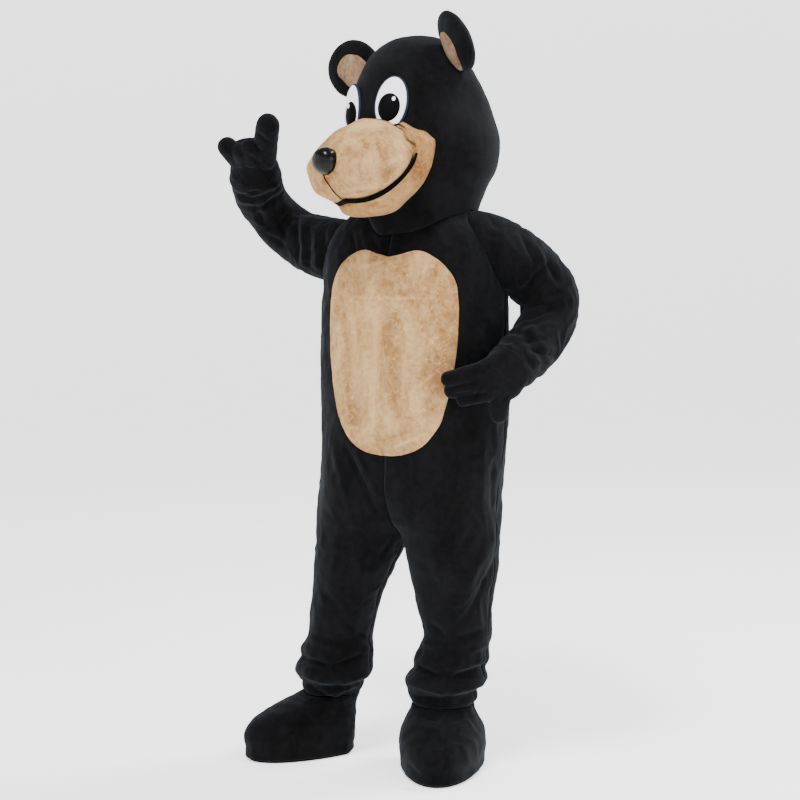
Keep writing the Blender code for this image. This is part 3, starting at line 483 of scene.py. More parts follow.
BLACK = plush(
    "black plush", deep=(0.0008, 0.0008, 0.0009), raised=(0.0037, 0.0037, 0.0041),
    patch=11.0, tuft=420.0, bump=0.9, sheen=0.042, tint=(0.70, 0.80, 0.96), crease=0.15,
)
TAN = plush(
    "tan plush", deep=(0.215, 0.104, 0.036), raised=(0.43, 0.272, 0.122),
    patch=15.0, tuft=330.0, bump=0.9, sheen=0.03, tint=(1.0, 0.93, 0.80), crease=0.7,
)
# The jaw's tan is darker and more saturated than the tan plush. This is partly the jaw band's own
# deeper tan and partly painted shade for the jaw's shadowed underside.
JAW_TAN_SHADED = plush(
    "shaded jaw plush", deep=(0.18, 0.078, 0.022), raised=(0.34, 0.200, 0.080),
    patch=15.0, tuft=330.0, bump=0.9, sheen=0.03, tint=(1.0, 0.90, 0.74), crease=0.6,
)
EAR_TAN = plush(
    "ear plush", deep=(0.10, 0.060, 0.034), raised=(0.24, 0.155, 0.09),
    patch=30.0, tuft=330.0, bump=0.7, sheen=0.03, tint=(1.0, 0.92, 0.84), crease=0.4,
)
FELT = smooth_finish("mouth felt", (0.0015, 0.0015, 0.0015), 0.9, 0.04)
NOSE = smooth_finish("nose", (0.0010, 0.0010, 0.0013), 0.24, 0.16)
WHITE = smooth_finish("eye white", (0.80, 0.80, 0.86), 0.6, 0.1)
RIM = smooth_finish("eye rim", (0.004, 0.006, 0.022), 0.6)
PUPIL = smooth_finish("pupil", (0.0010, 0.0010, 0.0013), 0.6, 0.04)
SOLE = smooth_finish("sole", (0.002, 0.002, 0.0022), 0.85, 0.05)
TAPE = smooth_finish("zip tape", (0.012, 0.012, 0.014), 0.8)
METAL = smooth_finish("zip metal", (0.45, 0.45, 0.47), 0.35, metallic=1.0)
print("materials:", len(bpy.data.materials))

# %% [markdown]
# Sizes of the suit come as short tables, a row for each height or station. Values between rows
# follow a curve that never overshoots, so a waist stays where its row puts it.

# %% Tables and curves
def table(columns, rows):
    """Rows of numbers as named columns."""
    return dict(zip(columns, np.array(rows, float).T))


def cubic(values, slopes, row, part, gap=1.0):
    """The cubic with the rows' values and slopes at both ends of a step, part of the way along."""
    rest = 1 - part
    low = values[row] * (1 + 2 * part) * rest**2 + slopes[row] * gap * part * rest**2
    high = values[row + 1] * (3 - 2 * part) * part**2
    return low + high - slopes[row + 1] * gap * rest * part**2


def smooth(at, steps, values):
    """Cubic through the rows, its slope the harmonic mean of the two chords, flat at a peak."""
    gaps = np.diff(steps)
    rises = np.diff(values) / gaps
    slopes = np.zeros(len(steps))
    slopes[0], slopes[-1] = rises[0], rises[-1]
    same = rises[:-1] * rises[1:] > 0
    both = np.where(same, rises[:-1] + rises[1:], 1.0)
    slopes[1:-1] = np.where(same, 2 * rises[:-1] * rises[1:] / both, 0.0)
    row = np.clip(np.searchsorted(steps, at, side="right") - 1, 0, len(steps) - 2)
    return cubic(values, slopes, row, (at - steps[row]) / gaps[row], gaps[row])


def glide(at, values):
    """Cubic through values one step apart, its slope that of the neighbours' chord."""
    slopes = np.gradient(values)
    row = np.clip(np.floor(at).astype(int), 0, len(values) - 2)
    return cubic(values, slopes, row, at - row)


def signed_power(value, power):
    """Sign x |value| ^ power."""
    return np.sign(value) * np.abs(value) ** power


def unevenness(points, size, seed):
    """Mean of eight sine waves with directions and phases drawn once, each about size long."""
    draw = np.random.default_rng(seed)
    ways = draw.normal(size=(8, 3))
    ways = ways / np.linalg.norm(ways, axis=1, keepdims=True) * draw.uniform(0.7, 1.5, (8, 1))
    return np.sin(points @ ways.T * (2 * math.pi / size) + draw.uniform(0, 7, 8)).mean(-1)


def wrinkles(points, size, seed):
    """Rounded ridges and sharp valleys: 0.6 - 2.2 x |sum of sines|, the place bent by more sums."""
    bend = np.stack([unevenness(points, size * 2.2, seed + k) for k in (100, 200, 300)], -1)
    return 0.6 - 2.2 * np.abs(unevenness(points + 0.55 * size * bend, size, seed))


BODY_COLUMNS = ("z", "mid", "inset", "half_width", "along_y", "front", "back", "square")
TORSO_ROWS = (
    (0.62, -0.022, 0.124, 0.125, 0.000, 0.136, 0.146, 2.0),
    (0.68, -0.018, 0.096, 0.152, 0.000, 0.158, 0.166, 2.0),
    (0.75, -0.012, 0.060, 0.188, 0.000, 0.174, 0.174, 2.05),
    (0.85, -0.003, 0.018, 0.232, 0.000, 0.186, 0.176, 2.1),
    (0.92, 0.000, 0.000, 0.250, 0.000, 0.190, 0.174, 2.15),
    (1.05, 0.000, 0.000, 0.250, 0.000, 0.193, 0.171, 2.2),
    (1.15, 0.000, 0.000, 0.248, 0.000, 0.190, 0.171, 2.2),
    (1.25, 0.000, 0.000, 0.246, 0.000, 0.184, 0.171, 2.2),
    (1.33, 0.000, 0.000, 0.240, 0.000, 0.176, 0.171, 2.2),
    (1.37, 0.000, 0.000, 0.230, 0.000, 0.166, 0.170, 2.2),
    (1.40, 0.000, 0.000, 0.216, 0.000, 0.153, 0.163, 2.15),
    (1.42, 0.000, 0.000, 0.202, 0.000, 0.141, 0.155, 2.1),
    (1.44, 0.000, 0.000, 0.180, 0.000, 0.125, 0.144, 2.1),
    (1.46, 0.000, 0.000, 0.159, 0.000, 0.105, 0.128, 2.1),
    (1.48, 0.000, 0.000, 0.130, 0.000, 0.080, 0.108, 2.0),
    (1.50, 0.000, 0.000, 0.090, 0.000, 0.055, 0.080, 2.0),
    (1.52, 0.000, 0.000, 0.030, 0.000, 0.030, 0.050, 2.0),
)
LEFT_LEG_ROWS = (
    (0.10, -0.022, 0.081, 0.079, 0.051, 0.079, 0.079, 2.0),
    (0.165, -0.022, 0.082, 0.083, 0.050, 0.083, 0.083, 2.0),
    (0.20, -0.022, 0.084, 0.096, 0.047, 0.096, 0.094, 2.0),
    (0.26, -0.022, 0.101, 0.099, 0.042, 0.100, 0.098, 2.0),
    (0.30, -0.022, 0.112, 0.095, 0.038, 0.098, 0.096, 2.0),
    (0.36, -0.022, 0.131, 0.089, 0.031, 0.092, 0.094, 2.0),
    (0.44, -0.022, 0.126, 0.098, 0.020, 0.104, 0.108, 2.0),
    (0.55, -0.022, 0.128, 0.117, 0.008, 0.124, 0.130, 2.0),
)
RIGHT_LEG_ROWS = (
    (0.10, -0.022, 0.240, 0.072, 0.034, 0.072, 0.072, 2.0),
    (0.165, -0.022, 0.236, 0.077, 0.030, 0.077, 0.077, 2.0),
    (0.19, -0.022, 0.232, 0.088, 0.028, 0.088, 0.088, 2.0),
    (0.25, -0.022, 0.220, 0.100, 0.021, 0.100, 0.098, 2.0),
    (0.335, -0.022, 0.202, 0.088, 0.012, 0.090, 0.092, 2.0),
    (0.44, -0.022, 0.176, 0.092, 0.002, 0.100, 0.106, 2.0),
    (0.55, -0.022, 0.144, 0.112, 0.000, 0.122, 0.128, 2.0),
)
BODY = {
    1: table(BODY_COLUMNS, LEFT_LEG_ROWS + TORSO_ROWS),
    -1: table(BODY_COLUMNS, RIGHT_LEG_ROWS + TORSO_ROWS),
}
print("body tables:", len(TORSO_ROWS), "torso rows,", len(LEFT_LEG_ROWS), "for the left leg")

# %% [markdown]
# Folds are what turns a tube into cloth. The widest ones are bumps in a table of turn and height,
# as in the solids. The finer ones are soft lines: on the side that the picture shows they are
# placed by the pixels where they begin and end, and they push the real surface in or out, so
# they hold from every side. A line's row is x and y where it begins, x and y where it ends, its
# width, all in pixels of an 800 pixel square, and its depth in metres, or for a pale line its
# strength. Pale lines are painted highlights: paler colour where folds, seams and edges catch the
# light.

# %% Folds
FOLD_COLUMNS = ("side", "turn", "z", "slope", "width", "length", "depth")
FOLD_ROWS = (
    (1, 98, 1.12, 0, 9, 0.16, 0.007),
    (-1, 110, 1.00, 40, 12, 0.12, -0.006),
    (-1, 120, 0.76, 120, 16, 0.09, 0.007),
    (-1, 150, 0.78, 120, 14, 0.08, -0.005),
    (1, 130, 0.52, -150, 16, 0.12, 0.008),
    (1, 190, 0.78, 60, 14, 0.12, -0.007),
    (-1, 200, 0.70, -60, 14, 0.12, 0.007),
    (1, 235, 1.05, 30, 12, 0.14, 0.006),
    (-1, 240, 1.10, -30, 12, 0.14, 0.006),
    (1, 250, 0.50, 80, 18, 0.10, -0.006),
    (-1, 260, 0.50, -80, 18, 0.10, -0.006),
    (1, 90, 0.25, 900, 60, 0.014, 0.007),
    (1, 230, 0.235, -900, 70, 0.014, 0.006),
    (-1, 100, 0.245, -900, 60, 0.014, 0.007),
    (-1, 240, 0.26, 900, 70, 0.014, 0.006),
    (1, 60, 0.32, 500, 50, 0.016, -0.005),
    (-1, 70, 0.33, -500, 50, 0.016, -0.005),
)
FINE_FOLD_ROWS = (
    (1, 150, 0.232, 500, 110, 0.016, 0.0075),
    (1, 150, 0.200, 500, 110, 0.010, -0.0075),
    (1, 130, 0.266, -400, 100, 0.012, -0.0060),
    (1, 200, 0.292, -400, 90, 0.014, 0.0050),
    (1, 170, 0.330, 300, 80, 0.014, -0.0045),
    (1, 200, 0.178, 300, 110, 0.008, 0.0030),
    (-1, 150, 0.226, -500, 110, 0.016, 0.0075),
    (-1, 150, 0.194, -500, 110, 0.010, -0.0070),
    (-1, 130, 0.262, 400, 100, 0.012, -0.0065),
    (-1, 200, 0.290, 400, 90, 0.014, 0.0050),
    (-1, 170, 0.326, -300, 80, 0.014, -0.0045),
    (1, 20, 0.225, 500, 60, 0.014, 0.0060),
    (1, 20, 0.262, -400, 60, 0.012, -0.0055),
    (-1, 20, 0.235, -500, 60, 0.014, 0.0060),
    (-1, 20, 0.200, 400, 60, 0.010, -0.0055),
    (1, 250, 0.62, 260, 16, 0.05, -0.0045),
    (-1, 252, 0.64, -260, 16, 0.05, -0.0045),
    (1, 225, 0.70, 300, 14, 0.05, 0.0045),
    (-1, 228, 0.72, -300, 14, 0.05, 0.0045),
    (1, 210, 0.20, 700, 60, 0.006, -0.003),
    (-1, 200, 0.215, -700, 60, 0.006, -0.003),
    (1, 260, 0.30, 500, 50, 0.008, -0.003),
    (-1, 230, 0.33, 500, 50, 0.008, -0.003),
    (1, 225, 0.86, 160, 8, 0.07, -0.004),
    (-1, 232, 0.84, -160, 8, 0.07, -0.004),
    (1, 205, 1.22, 90, 8, 0.08, -0.004),
    (-1, 215, 1.25, -90, 8, 0.08, -0.004),
    (1, 250, 1.32, 260, 10, 0.04, -0.003),
    (-1, 252, 1.30, -260, 10, 0.04, -0.003),
)
TRUNK_LINES = (
    (345, 445, 377, 512, 2.6, -0.0060),
    (352, 440, 384, 505, 3.0, 0.0050),
    (360, 452, 382, 498, 2.2, -0.0040),
    (329, 430, 352, 520, 4.0, 0.0035),
    (494, 430, 492, 520, 3.0, -0.0045),
    (484, 440, 482, 510, 3.5, 0.0030),
    (497, 528, 452, 617, 6.0, 0.0075),
    (504, 545, 462, 625, 3.5, -0.0055),
    (478, 520, 440, 588, 4.5, -0.0045),
    (420, 560, 446, 600, 4.0, -0.0035),
    (340, 520, 330, 600, 5.0, 0.0045),
    (352, 530, 343, 604, 3.5, -0.0045),
    (366, 545, 352, 640, 5.0, 0.0045),
    (322, 588, 350, 626, 4.5, -0.0045),
    (340, 590, 372, 616, 4.0, 0.0040),
    (304, 636, 340, 650, 4.0, 0.0065),
    (298, 656, 330, 668, 3.2, -0.0095),
    (330, 668, 366, 655, 3.2, -0.0090),
    (300, 668, 334, 684, 4.5, 0.0085),
    (336, 684, 370, 672, 4.5, 0.0080),
    (302, 685, 335, 701, 2.8, -0.0070),
    (337, 698, 364, 688, 2.6, -0.0060),
    (345, 622, 368, 640, 3.5, -0.0050),
    (356, 640, 376, 652, 3.5, 0.0050),
    (418, 640, 452, 652, 4.0, 0.0060),
    (412, 664, 446, 682, 3.2, -0.0095),
    (446, 682, 488, 664, 3.2, -0.0090),
    (410, 680, 448, 694, 4.2, 0.0080),
    (450, 694, 484, 678, 4.2, 0.0080),
    (408, 696, 450, 704, 2.6, -0.0065),
    (452, 704, 480, 694, 2.6, -0.0060),
    (455, 640, 490, 628, 4.0, -0.0060),
    (470, 652, 492, 644, 3.2, 0.0055),
    (428, 622, 446, 634, 3.5, -0.0045),
    (326, 300, 322, 390, 3.0, 0.0030),
    (470, 262, 484, 330, 3.0, -0.0035),
    (478, 330, 486, 356, 3.0, 0.0035),
    (497, 400, 492, 470, 3.0, 0.0035),
    (352, 232, 357, 262, 2.2, -0.0050),
    (362, 228, 368, 252, 2.4, 0.0035),
    (372, 236, 380, 250, 2.0, -0.0040),
    (508, 290, 470, 352, 3.0, 0.0035),
    (462, 420, 452, 480, 5.0, -0.0040),
    (412, 470, 420, 520, 5.0, 0.0035),
    (430, 500, 404, 532, 3.5, -0.0040),
)
PATCH_LINES = (
    (383, 291, 370, 444, 3.0, -0.0055),
    (374, 291, 362, 440, 5.0, 0.0050),
    (393, 300, 384, 440, 5.0, 0.0030),
    (345, 292, 440, 294, 2.0, -0.0028),
    (345, 285, 436, 287, 3.0, 0.0022),
    (384, 440, 414, 430, 2.0, -0.0060),
    (384, 452, 416, 442, 3.0, 0.0050),
    (372, 448, 390, 438, 2.4, -0.0040),
    (422, 262, 438, 330, 4.0, -0.0035),
    (404, 300, 410, 420, 6.0, 0.0030),
    (345, 300, 350, 400, 5.0, -0.0030),
    (388, 258, 392, 290, 3.0, -0.0040),
    (440, 340, 430, 388, 3.5, -0.0035),
    (352, 270, 372, 300, 3.0, -0.0025),
    (416, 340, 446, 372, 3.0, -0.0022),
    (345, 400, 362, 440, 3.5, -0.0035),
    (398, 404, 432, 420, 3.0, -0.0025),
)
# Painted highlights on the belly patch: paler bands and lines where its folds catch the light.
PATCH_PAINTED_HIGHLIGHTS = (
    (378, 300, 371, 440, 4.0, 0.55),
    (352, 300, 355, 400, 5.0, 0.40),
    (365, 280, 362, 430, 4.0, 0.25),
    (345, 297, 436, 299, 1.2, 0.35),
    (392, 448, 416, 438, 1.3, 0.6),
    (402, 400, 436, 372, 1.3, 0.45),
    (418, 330, 444, 352, 1.1, 0.45),
    (400, 372, 438, 336, 1.1, 0.35),
    (356, 268, 384, 262, 1.4, 0.35),
    (410, 262, 414, 290, 1.2, 0.35),
)
# Painted highlights on the black plush: paler lines along the hem, cuffs, folds and seams where they
# catch the light.
PAINTED_HIGHLIGHT_LINES = (
    (350, 222, 372, 241, 0.9, 0.5),
    (372, 241, 415, 235, 0.9, 0.5),
    (394, 475, 396, 512, 0.9, 0.4),
    (396, 512, 402, 530, 0.9, 0.4),
    (485, 360, 523, 391, 0.9, 0.9),
    (522, 359, 534, 373, 0.9, 0.6),
    (515, 297, 550, 262, 0.9, 0.5),
    (500, 257, 518, 237, 0.9, 0.5),
    (503, 286, 500, 257, 0.9, 0.4),
    (474, 415, 490, 405, 0.9, 0.5),
    (490, 405, 505, 415, 0.9, 0.5),
    (297, 217, 297, 260, 0.9, 0.5),
    (308, 224, 309, 262, 0.9, 0.5),
    (324, 230, 325, 262, 0.9, 0.4),
    (354, 232, 352, 260, 0.9, 0.4),
    (345, 445, 377, 512, 0.9, 0.35),
    (446, 711, 441, 781, 0.9, 0.5),
    (316, 697, 341, 709, 0.9, 0.5),
    (455, 150, 497, 132, 0.9, 0.4),
    (380, 60, 372, 118, 1.2, 0.25),
)


def bump_lift(rows, side, turn, z):
    """Sum of depth x exp(-(turn from the fold / width)^2 - (height from it / length)^2)."""
    folds = table(FOLD_COLUMNS, rows)
    lift = np.zeros(np.broadcast(turn, z).shape)
    for k in np.flatnonzero(folds["side"] == side):
        rise = z - folds["z"][k]
        centre = np.radians(folds["turn"][k] + folds["slope"][k] * rise)
        away = np.mod(turn - centre + math.pi, 2 * math.pi) - math.pi
        across = away / np.radians(folds["width"][k])
        lift = lift + folds["depth"][k] * np.exp(-(across**2) - (rise / folds["length"][k]) ** 2)
    return lift


def seen_lift(points, normals, lines):
    """Sum of depth x exp(-(pixels to the line / width)^2), faded out where cloth turns away."""
    spots = picture(points)
    toward = EYE - points
    facing = (normals * toward).sum(-1) / np.linalg.norm(toward, axis=-1)
    lift = np.zeros(facing.shape)
    for x0, y0, x1, y1, width, depth in lines:
        start, way = np.array([x0, y0]), np.array([x1 - x0, y1 - y0])
        share = np.clip((spots - start) @ way / (way @ way), 0, 1)
        away = np.linalg.norm(spots - start - share[..., None] * way, axis=-1)
        fade = np.clip(1.15 - np.abs(2 * share - 1) ** 3, 0, 1)
        lift += depth * np.exp(-((away / width) ** 2)) * fade
    return lift * np.clip(facing * 4, 0, 1)


BY_TURN = len(FOLD_ROWS) + len(FINE_FOLD_ROWS)
print("folds:", BY_TURN, "by turn and", len(TRUNK_LINES), "by pixel")

# %% [markdown]
# The jumpsuit is four panels: left and right, front and back. Each half of the body is a stack of
# squarish ovals, round the leg below the crotch and meeting the other half above it. A panel
# runs from the middle line to the side seam. Its edges dip where the stitching pulls the pile in.

# %% The body surface
SEAM_GAP = 0.0003
PLUSH = 0.003
NECK_Z = 1.475
ANKLE_Z = 0.165
LEGS_APART = 0.50
ZIP_HALF_SLOT = 0.0045
ZIP_LOW = 0.95
ZIP_HIGH = 1.415
BODY_TOP = 1.52


def body_value(side, key, z):
    """A column of the body table at any height."""
    return smooth(z, BODY[side]["z"], BODY[side][key])


def first_turn(side, z, clear=SEAM_GAP / 2):
    """The turn where this half meets the other: the arc cosine of the way to it / half width."""
    ratio = (body_value(side, "inset", z) - clear) / body_value(side, "half_width", z)
    power = body_value(side, "square", z) / 2
    cosine = np.where(z < LEGS_APART, 1.0, np.clip(signed_power(ratio, power), -1, 1))
    hair = (SEAM_GAP / 2 / body_value(side, "front", z)) ** power
    return np.maximum(np.arccos(cosine), hair)


def body_point(side, turn, z):
    """A squarish oval, |x/a|^n + |y/b|^n = 1, about the half's centre: turn 0 is inward, a quarter
    the front, a half the outside. The widest folds stretch it."""
    turn, z = np.broadcast_arrays(np.asarray(turn, float), np.asarray(z, float))
    power = 2 / body_value(side, "square", z)
    reach = np.where(np.sin(turn) > 0, body_value(side, "front", z), body_value(side, "back", z))
    out = -body_value(side, "half_width", z) * signed_power(np.cos(turn), power)
    y = -reach * signed_power(np.sin(turn), power)
    start = first_turn(side, z)
    from_edge = np.minimum(turn - start, 2 * math.pi - start - turn)
    fade = np.where(z > 0.60, np.clip(from_edge / math.radians(20), 0, 1) ** 2, 1.0)
    lift = bump_lift(FOLD_ROWS, side, turn, z) * fade / np.hypot(out, y)
    out = body_value(side, "inset", z) + out * (1 + lift)
    y = body_value(side, "along_y", z) + y * (1 + lift)
    return np.stack([body_value(side, "mid", z) + side * out, y, z - HELD_HEIGHT], -1)


def panel_turns(side, z, face, columns):
    """Even steps from the middle line to the side seam, the back edge standing off the zip."""
    clear = SEAM_GAP / 2
    if face == "back":
        ends = np.minimum(z - ZIP_LOW, ZIP_HIGH - z) / 0.02
        clear = clear + np.clip(ends, 0, 1) * ZIP_HALF_SLOT
    start = first_turn(side, z, clear)
    power = body_value(side, "square", z) / 2
    seam = math.pi - (SEAM_GAP / 2 / body_value(side, face, z)) ** power
    turns = start + (seam - start) * np.linspace(0, 1, columns)
    return turns if face == "front" else 2 * math.pi - turns


def edge_dip(points, around, depth, width, ends=True):
    """Depth x exp(-(distance to the nearest free edge / width)^2), distances along the grid."""
    dip = np.zeros(points.shape[:2])
    if not around:
        step = np.linalg.norm(np.diff(points, axis=1), axis=-1)
        along = np.concatenate([np.zeros((len(points), 1)), np.cumsum(step, 1)], 1)
        near = np.minimum(along, along[:, -1:] - along)
        dip = np.maximum(dip, np.exp(-((near / width) ** 2)))
    if ends:
        step = np.linalg.norm(np.diff(points, axis=0), axis=-1)
        along = np.concatenate([np.zeros((1, points.shape[1])), np.cumsum(step, 0)], 0)
        near = np.minimum(along, along[-1:] - along)
        dip = np.maximum(dip, np.exp(-((near / width) ** 2)))
    return -depth * dip


def panel_points(side, face, z, columns, dip=0.0022):
    """The panel's outer grid and its normals, with every fold in place."""
    turns = panel_turns(side, z, face, columns)
    points = body_point(side, turns, z + 0 * turns)
    normals = outward_normals(points, False)
    lift = seen_lift(points, normals, TRUNK_LINES + PATCH_LINES)
    lift = lift + bump_lift(FINE_FOLD_ROWS, side, turns, z)
    lift = lift + 0.0026 * wrinkles(points, 0.075, 5) + 0.0006 * unevenness(points, 0.032, 6)
    points = points + (lift + edge_dip(points, False, dip, 0.0045))[..., None] * normals
    return points, normals


def skin_area(item):
    """Area of an object's faces."""
    areas = np.zeros(len(item.data.polygons))
    item.data.polygons.foreach_get("area", areas)
    return float(areas.sum())


def skin_points(item):
    """The mesh's points and their normals, one to a row."""
    count = len(item.data.vertices)
    points, normals = np.zeros(count * 3), np.zeros(count * 3)
    item.data.vertices.foreach_get("co", points)
    item.data.vertices.foreach_get("normal", normals)
    return points.reshape(-1, 3), normals.reshape(-1, 3)


def shift(item, relief):
    """Moves each point of a mesh along its normal by what relief(points, normals) says."""
    points, normals = skin_points(item)
    moved = points + relief(points, normals)[:, None] * normals
    item.data.vertices.foreach_set("co", moved.astype(np.float32).ravel())
    item.data.update()


def paint_where(item, name, rule):
    """Stores rule(points, normals), from 0 to 1, as a point attribute of the mesh."""
    mask = rule(*skin_points(item)).astype(np.float32)
    item.data.attributes.new(name, "FLOAT", "POINT").data.foreach_set("value", mask)


def paint_line(item, name, lines):
    """Stores a 0 to 1 mask of lines given in pixels as a point attribute of the mesh."""
    paint_where(item, name, lambda points, way: np.clip(seen_lift(points, way, lines), 0, 1))


def belongs(item, slot_name, *nodes):
    """The piece rides on the suit and stands for the nodes, which are hidden; the slot name is not
    used.
    """
    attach(item, SUIT)
    if nodes:
        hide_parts(*nodes)


def cloth(item, slot_name, width, length, held, *nodes, area=None):
    """Prints a sheet: the rectangle its cut fits in, and its own area."""
    area = skin_area(item) / 2 if area is None else area
    # Painted highlights: the pale attribute lightens lines where folds, seams and edges catch the
    # light.
    paint_line(item, "pale", PATCH_PAINTED_HIGHLIGHTS if slot_name == "tan_plush" else PAINTED_HIGHLIGHT_LINES)
    belongs(item, slot_name, *nodes)
    faces = len(item.data.polygons)
    print(f"{item.name}: {faces} faces, cut {width} x {length} m, {area:.3f} square m")


def stuffed(item, slot_name, node):
    """Attaches a foam or stuffed piece that stands for a node, and prints its faces."""
    belongs(item, slot_name, node)
    print(f"{item.name}: {len(item.data.polygons)} faces")


# %% [markdown]
# Sleeves are tubes along a bent path. A tube's line starts where it leaves the body, so its edge
# follows the armhole, and the same tube, a little thinner, cuts that hole in the panels.

# %% Sleeve surfaces
SLEEVE_COLUMNS = ("x", "y", "z", "radius")
LEFT_SLEEVE_ROWS = (
    (0.090, 0.000, 1.374, 0.080),
    (0.180, 0.008, 1.374, 0.085),
    (0.262, 0.040, 1.332, 0.083),
    (0.326, 0.080, 1.262, 0.078),
    (0.338, 0.075, 1.195, 0.073),
    (0.328, 0.025, 1.140, 0.069),
    (0.314, -0.040, 1.103, 0.066),
    (0.296, -0.103, 1.075, 0.062),
)
RIGHT_SLEEVE_ROWS = (
    (-0.090, 0.010, 1.345, 0.080),
    (-0.195, 0.015, 1.350, 0.083),
    (-0.290, 0.030, 1.365, 0.080),
    (-0.366, 0.045, 1.392, 0.071),
    (-0.422, 0.035, 1.440, 0.066),
    (-0.437, -0.015, 1.492, 0.066),
    (-0.428, -0.060, 1.532, 0.066),
    (-0.4135, -0.0965, 1.566, 0.065),
)
SLEEVES = {
    1: table(SLEEVE_COLUMNS, LEFT_SLEEVE_ROWS),
    -1: table(SLEEVE_COLUMNS, RIGHT_SLEEVE_ROWS),
}
SLEEVE_CLEAR = 0.0018
SLEEVE_TURNS = 112
SLEEVE_STEPS = 176
SLEEVE_CUT = 0.54
WRIST = 7.0
SLEEVE_LINES = {
    1: (
        (515, 297, 552, 260, 3.2, -0.0085),
        (522, 308, 562, 282, 3.6, 0.0065),
        (520, 288, 542, 258, 3.0, 0.0055),
        (522, 320, 560, 306, 3.0, -0.0070),
        (520, 333, 556, 322, 3.4, 0.0060),
        (514, 344, 548, 338, 2.8, -0.0055),
        (522, 357, 540, 376, 2.6, -0.0070),
        (514, 360, 529, 382, 2.8, 0.0055),
        (530, 350, 556, 356, 2.6, -0.0065),
        (536, 362, 552, 364, 2.6, 0.0050),
        (498, 228, 522, 262, 3.4, 0.0045),
        (520, 232, 536, 264, 2.6, -0.0065),
        (536, 246, 546, 268, 2.6, 0.0055),
        (508, 262, 516, 292, 2.6, -0.0055),
        (548, 262, 562, 290, 3.0, -0.0055),
        (488, 216, 506, 240, 3.0, -0.0040),
        (540, 300, 572, 296, 3.0, 0.0045),
    ),
    -1: (
        (297, 212, 297, 262, 2.4, -0.0070),
        (303, 218, 303, 268, 2.6, 0.0055),
        (309, 222, 309, 270, 2.4, -0.0070),
        (316, 226, 317, 272, 2.6, 0.0055),
        (324, 226, 325, 276, 2.4, -0.0065),
        (333, 226, 335, 276, 2.8, 0.0045),
        (284, 194, 262, 208, 3.0, -0.0075),
        (292, 206, 270, 226, 3.0, 0.0060),
        (280, 182, 258, 190, 2.8, 0.0060),
        (254, 202, 264, 226, 3.0, -0.0050),
        (240, 196, 262, 190, 2.6, -0.0055),
        (236, 184, 256, 182, 2.4, 0.0045),
        (262, 232, 286, 246, 3.0, -0.0045),
        (276, 216, 288, 240, 3.0, -0.0040),
    ),
}


def sleeve_middle(side, along):
    """The sleeve's middle line at any step."""
    path = np.stack([glide(along, SLEEVES[side][key]) for key in ("x", "y", "z")], -1)
    return path - np.array([0, 0, HELD_HEIGHT])


def sleeve_frame(side, along):
    """Two directions across the sleeve and the one along it."""
    path = sleeve_middle(side, np.array([1.0, 4.0, 7.0]))
    bend = np.cross(path[1] - path[0], path[2] - path[1])
    step = 0.01
    ahead = sleeve_middle(side, along + step) - sleeve_middle(side, along - step)
    ahead = ahead / np.linalg.norm(ahead, axis=-1, keepdims=True)
    inward = np.cross(bend / np.linalg.norm(bend), ahead)
    inward = inward / np.linalg.norm(inward, axis=-1, keepdims=True)
    return inward, np.cross(ahead, inward), ahead


def sleeve_point(side, turn, along, grow=0.0):
    """Middle line + radius x (cos turn x inward + sin turn x across)."""
    turn, along = np.broadcast_arrays(np.asarray(turn, float), np.asarray(along, float))
    inward, across, _ = sleeve_frame(side, along)
    radius = (glide(along, SLEEVES[side]["radius"]) + grow)[..., None]
    spoke = np.cos(turn)[..., None] * inward + np.sin(turn)[..., None] * across
    return sleeve_middle(side, along) + radius * spoke


def inside_body(points, grow):
    """Whether points lie within either half's oval, its radii grown by a distance."""
    z = points[..., 2] + HELD_HEIGHT
    inside = np.zeros(z.shape, bool)
    for side in (1, -1):
        out = side * (points[..., 0] - body_value(side, "mid", z)) - body_value(side, "inset", z)
        y = points[..., 1] - body_value(side, "along_y", z)
        reach = np.where(y < 0, body_value(side, "front", z), body_value(side, "back", z)) + grow
        power = body_value(side, "square", z)
        width = body_value(side, "half_width", z) + grow
        oval = np.abs(out / width) ** power + np.abs(y / reach) ** power
        inside |= (oval < 1) & (z < BODY_TOP) & (z > ANKLE_Z)
    return inside


def leaves_body(side, turn, grow):
    """For each turn, the last step of the sleeve's line that still lies in the body, plus one."""
    steps = np.linspace(0, 3, 601)
    inside = inside_body(sleeve_point(side, turn[:, None], steps[None, :], grow), SLEEVE_CLEAR)
    last = steps.size - 1 - np.argmax(inside[:, ::-1], axis=1)
    return steps[np.where(inside.any(1), last + 1, 0)]


def closed_rings(name, rings, material):
    """Rings joined one to the next, the first and last closed over a middle point."""
    rows, columns = rings.shape[:2]
    ends = np.stack([rings[0].mean(0), rings[-1].mean(0)])
    first = np.arange(columns)
    after = (first + 1) % columns
    low = np.stack([np.full(columns, rows * columns), after, first], -1)
    last = (rows - 1) * columns
    high = np.stack([np.full(columns, rows * columns + 1), last + first, last + after], -1)
    points = np.concatenate([rings.reshape(-1, 3), ends])
    faces = [grid_faces(rows, columns, True), low, high]
    return outward(mesh_object(name, points, faces, material))


def sleeve_grid(side, turns, steps):
    """The sleeve's outer grid from the armhole to the wrist, its normals and its steps."""
    share = np.linspace(0, 1, steps)[:, None]
    start = leaves_body(side, turns, 0.0)
    along = start + (WRIST - start) * share
    points = sleeve_point(side, turns + 0 * along, along)
    return points, outward_normals(points, True, sleeve_middle(side, along)), along


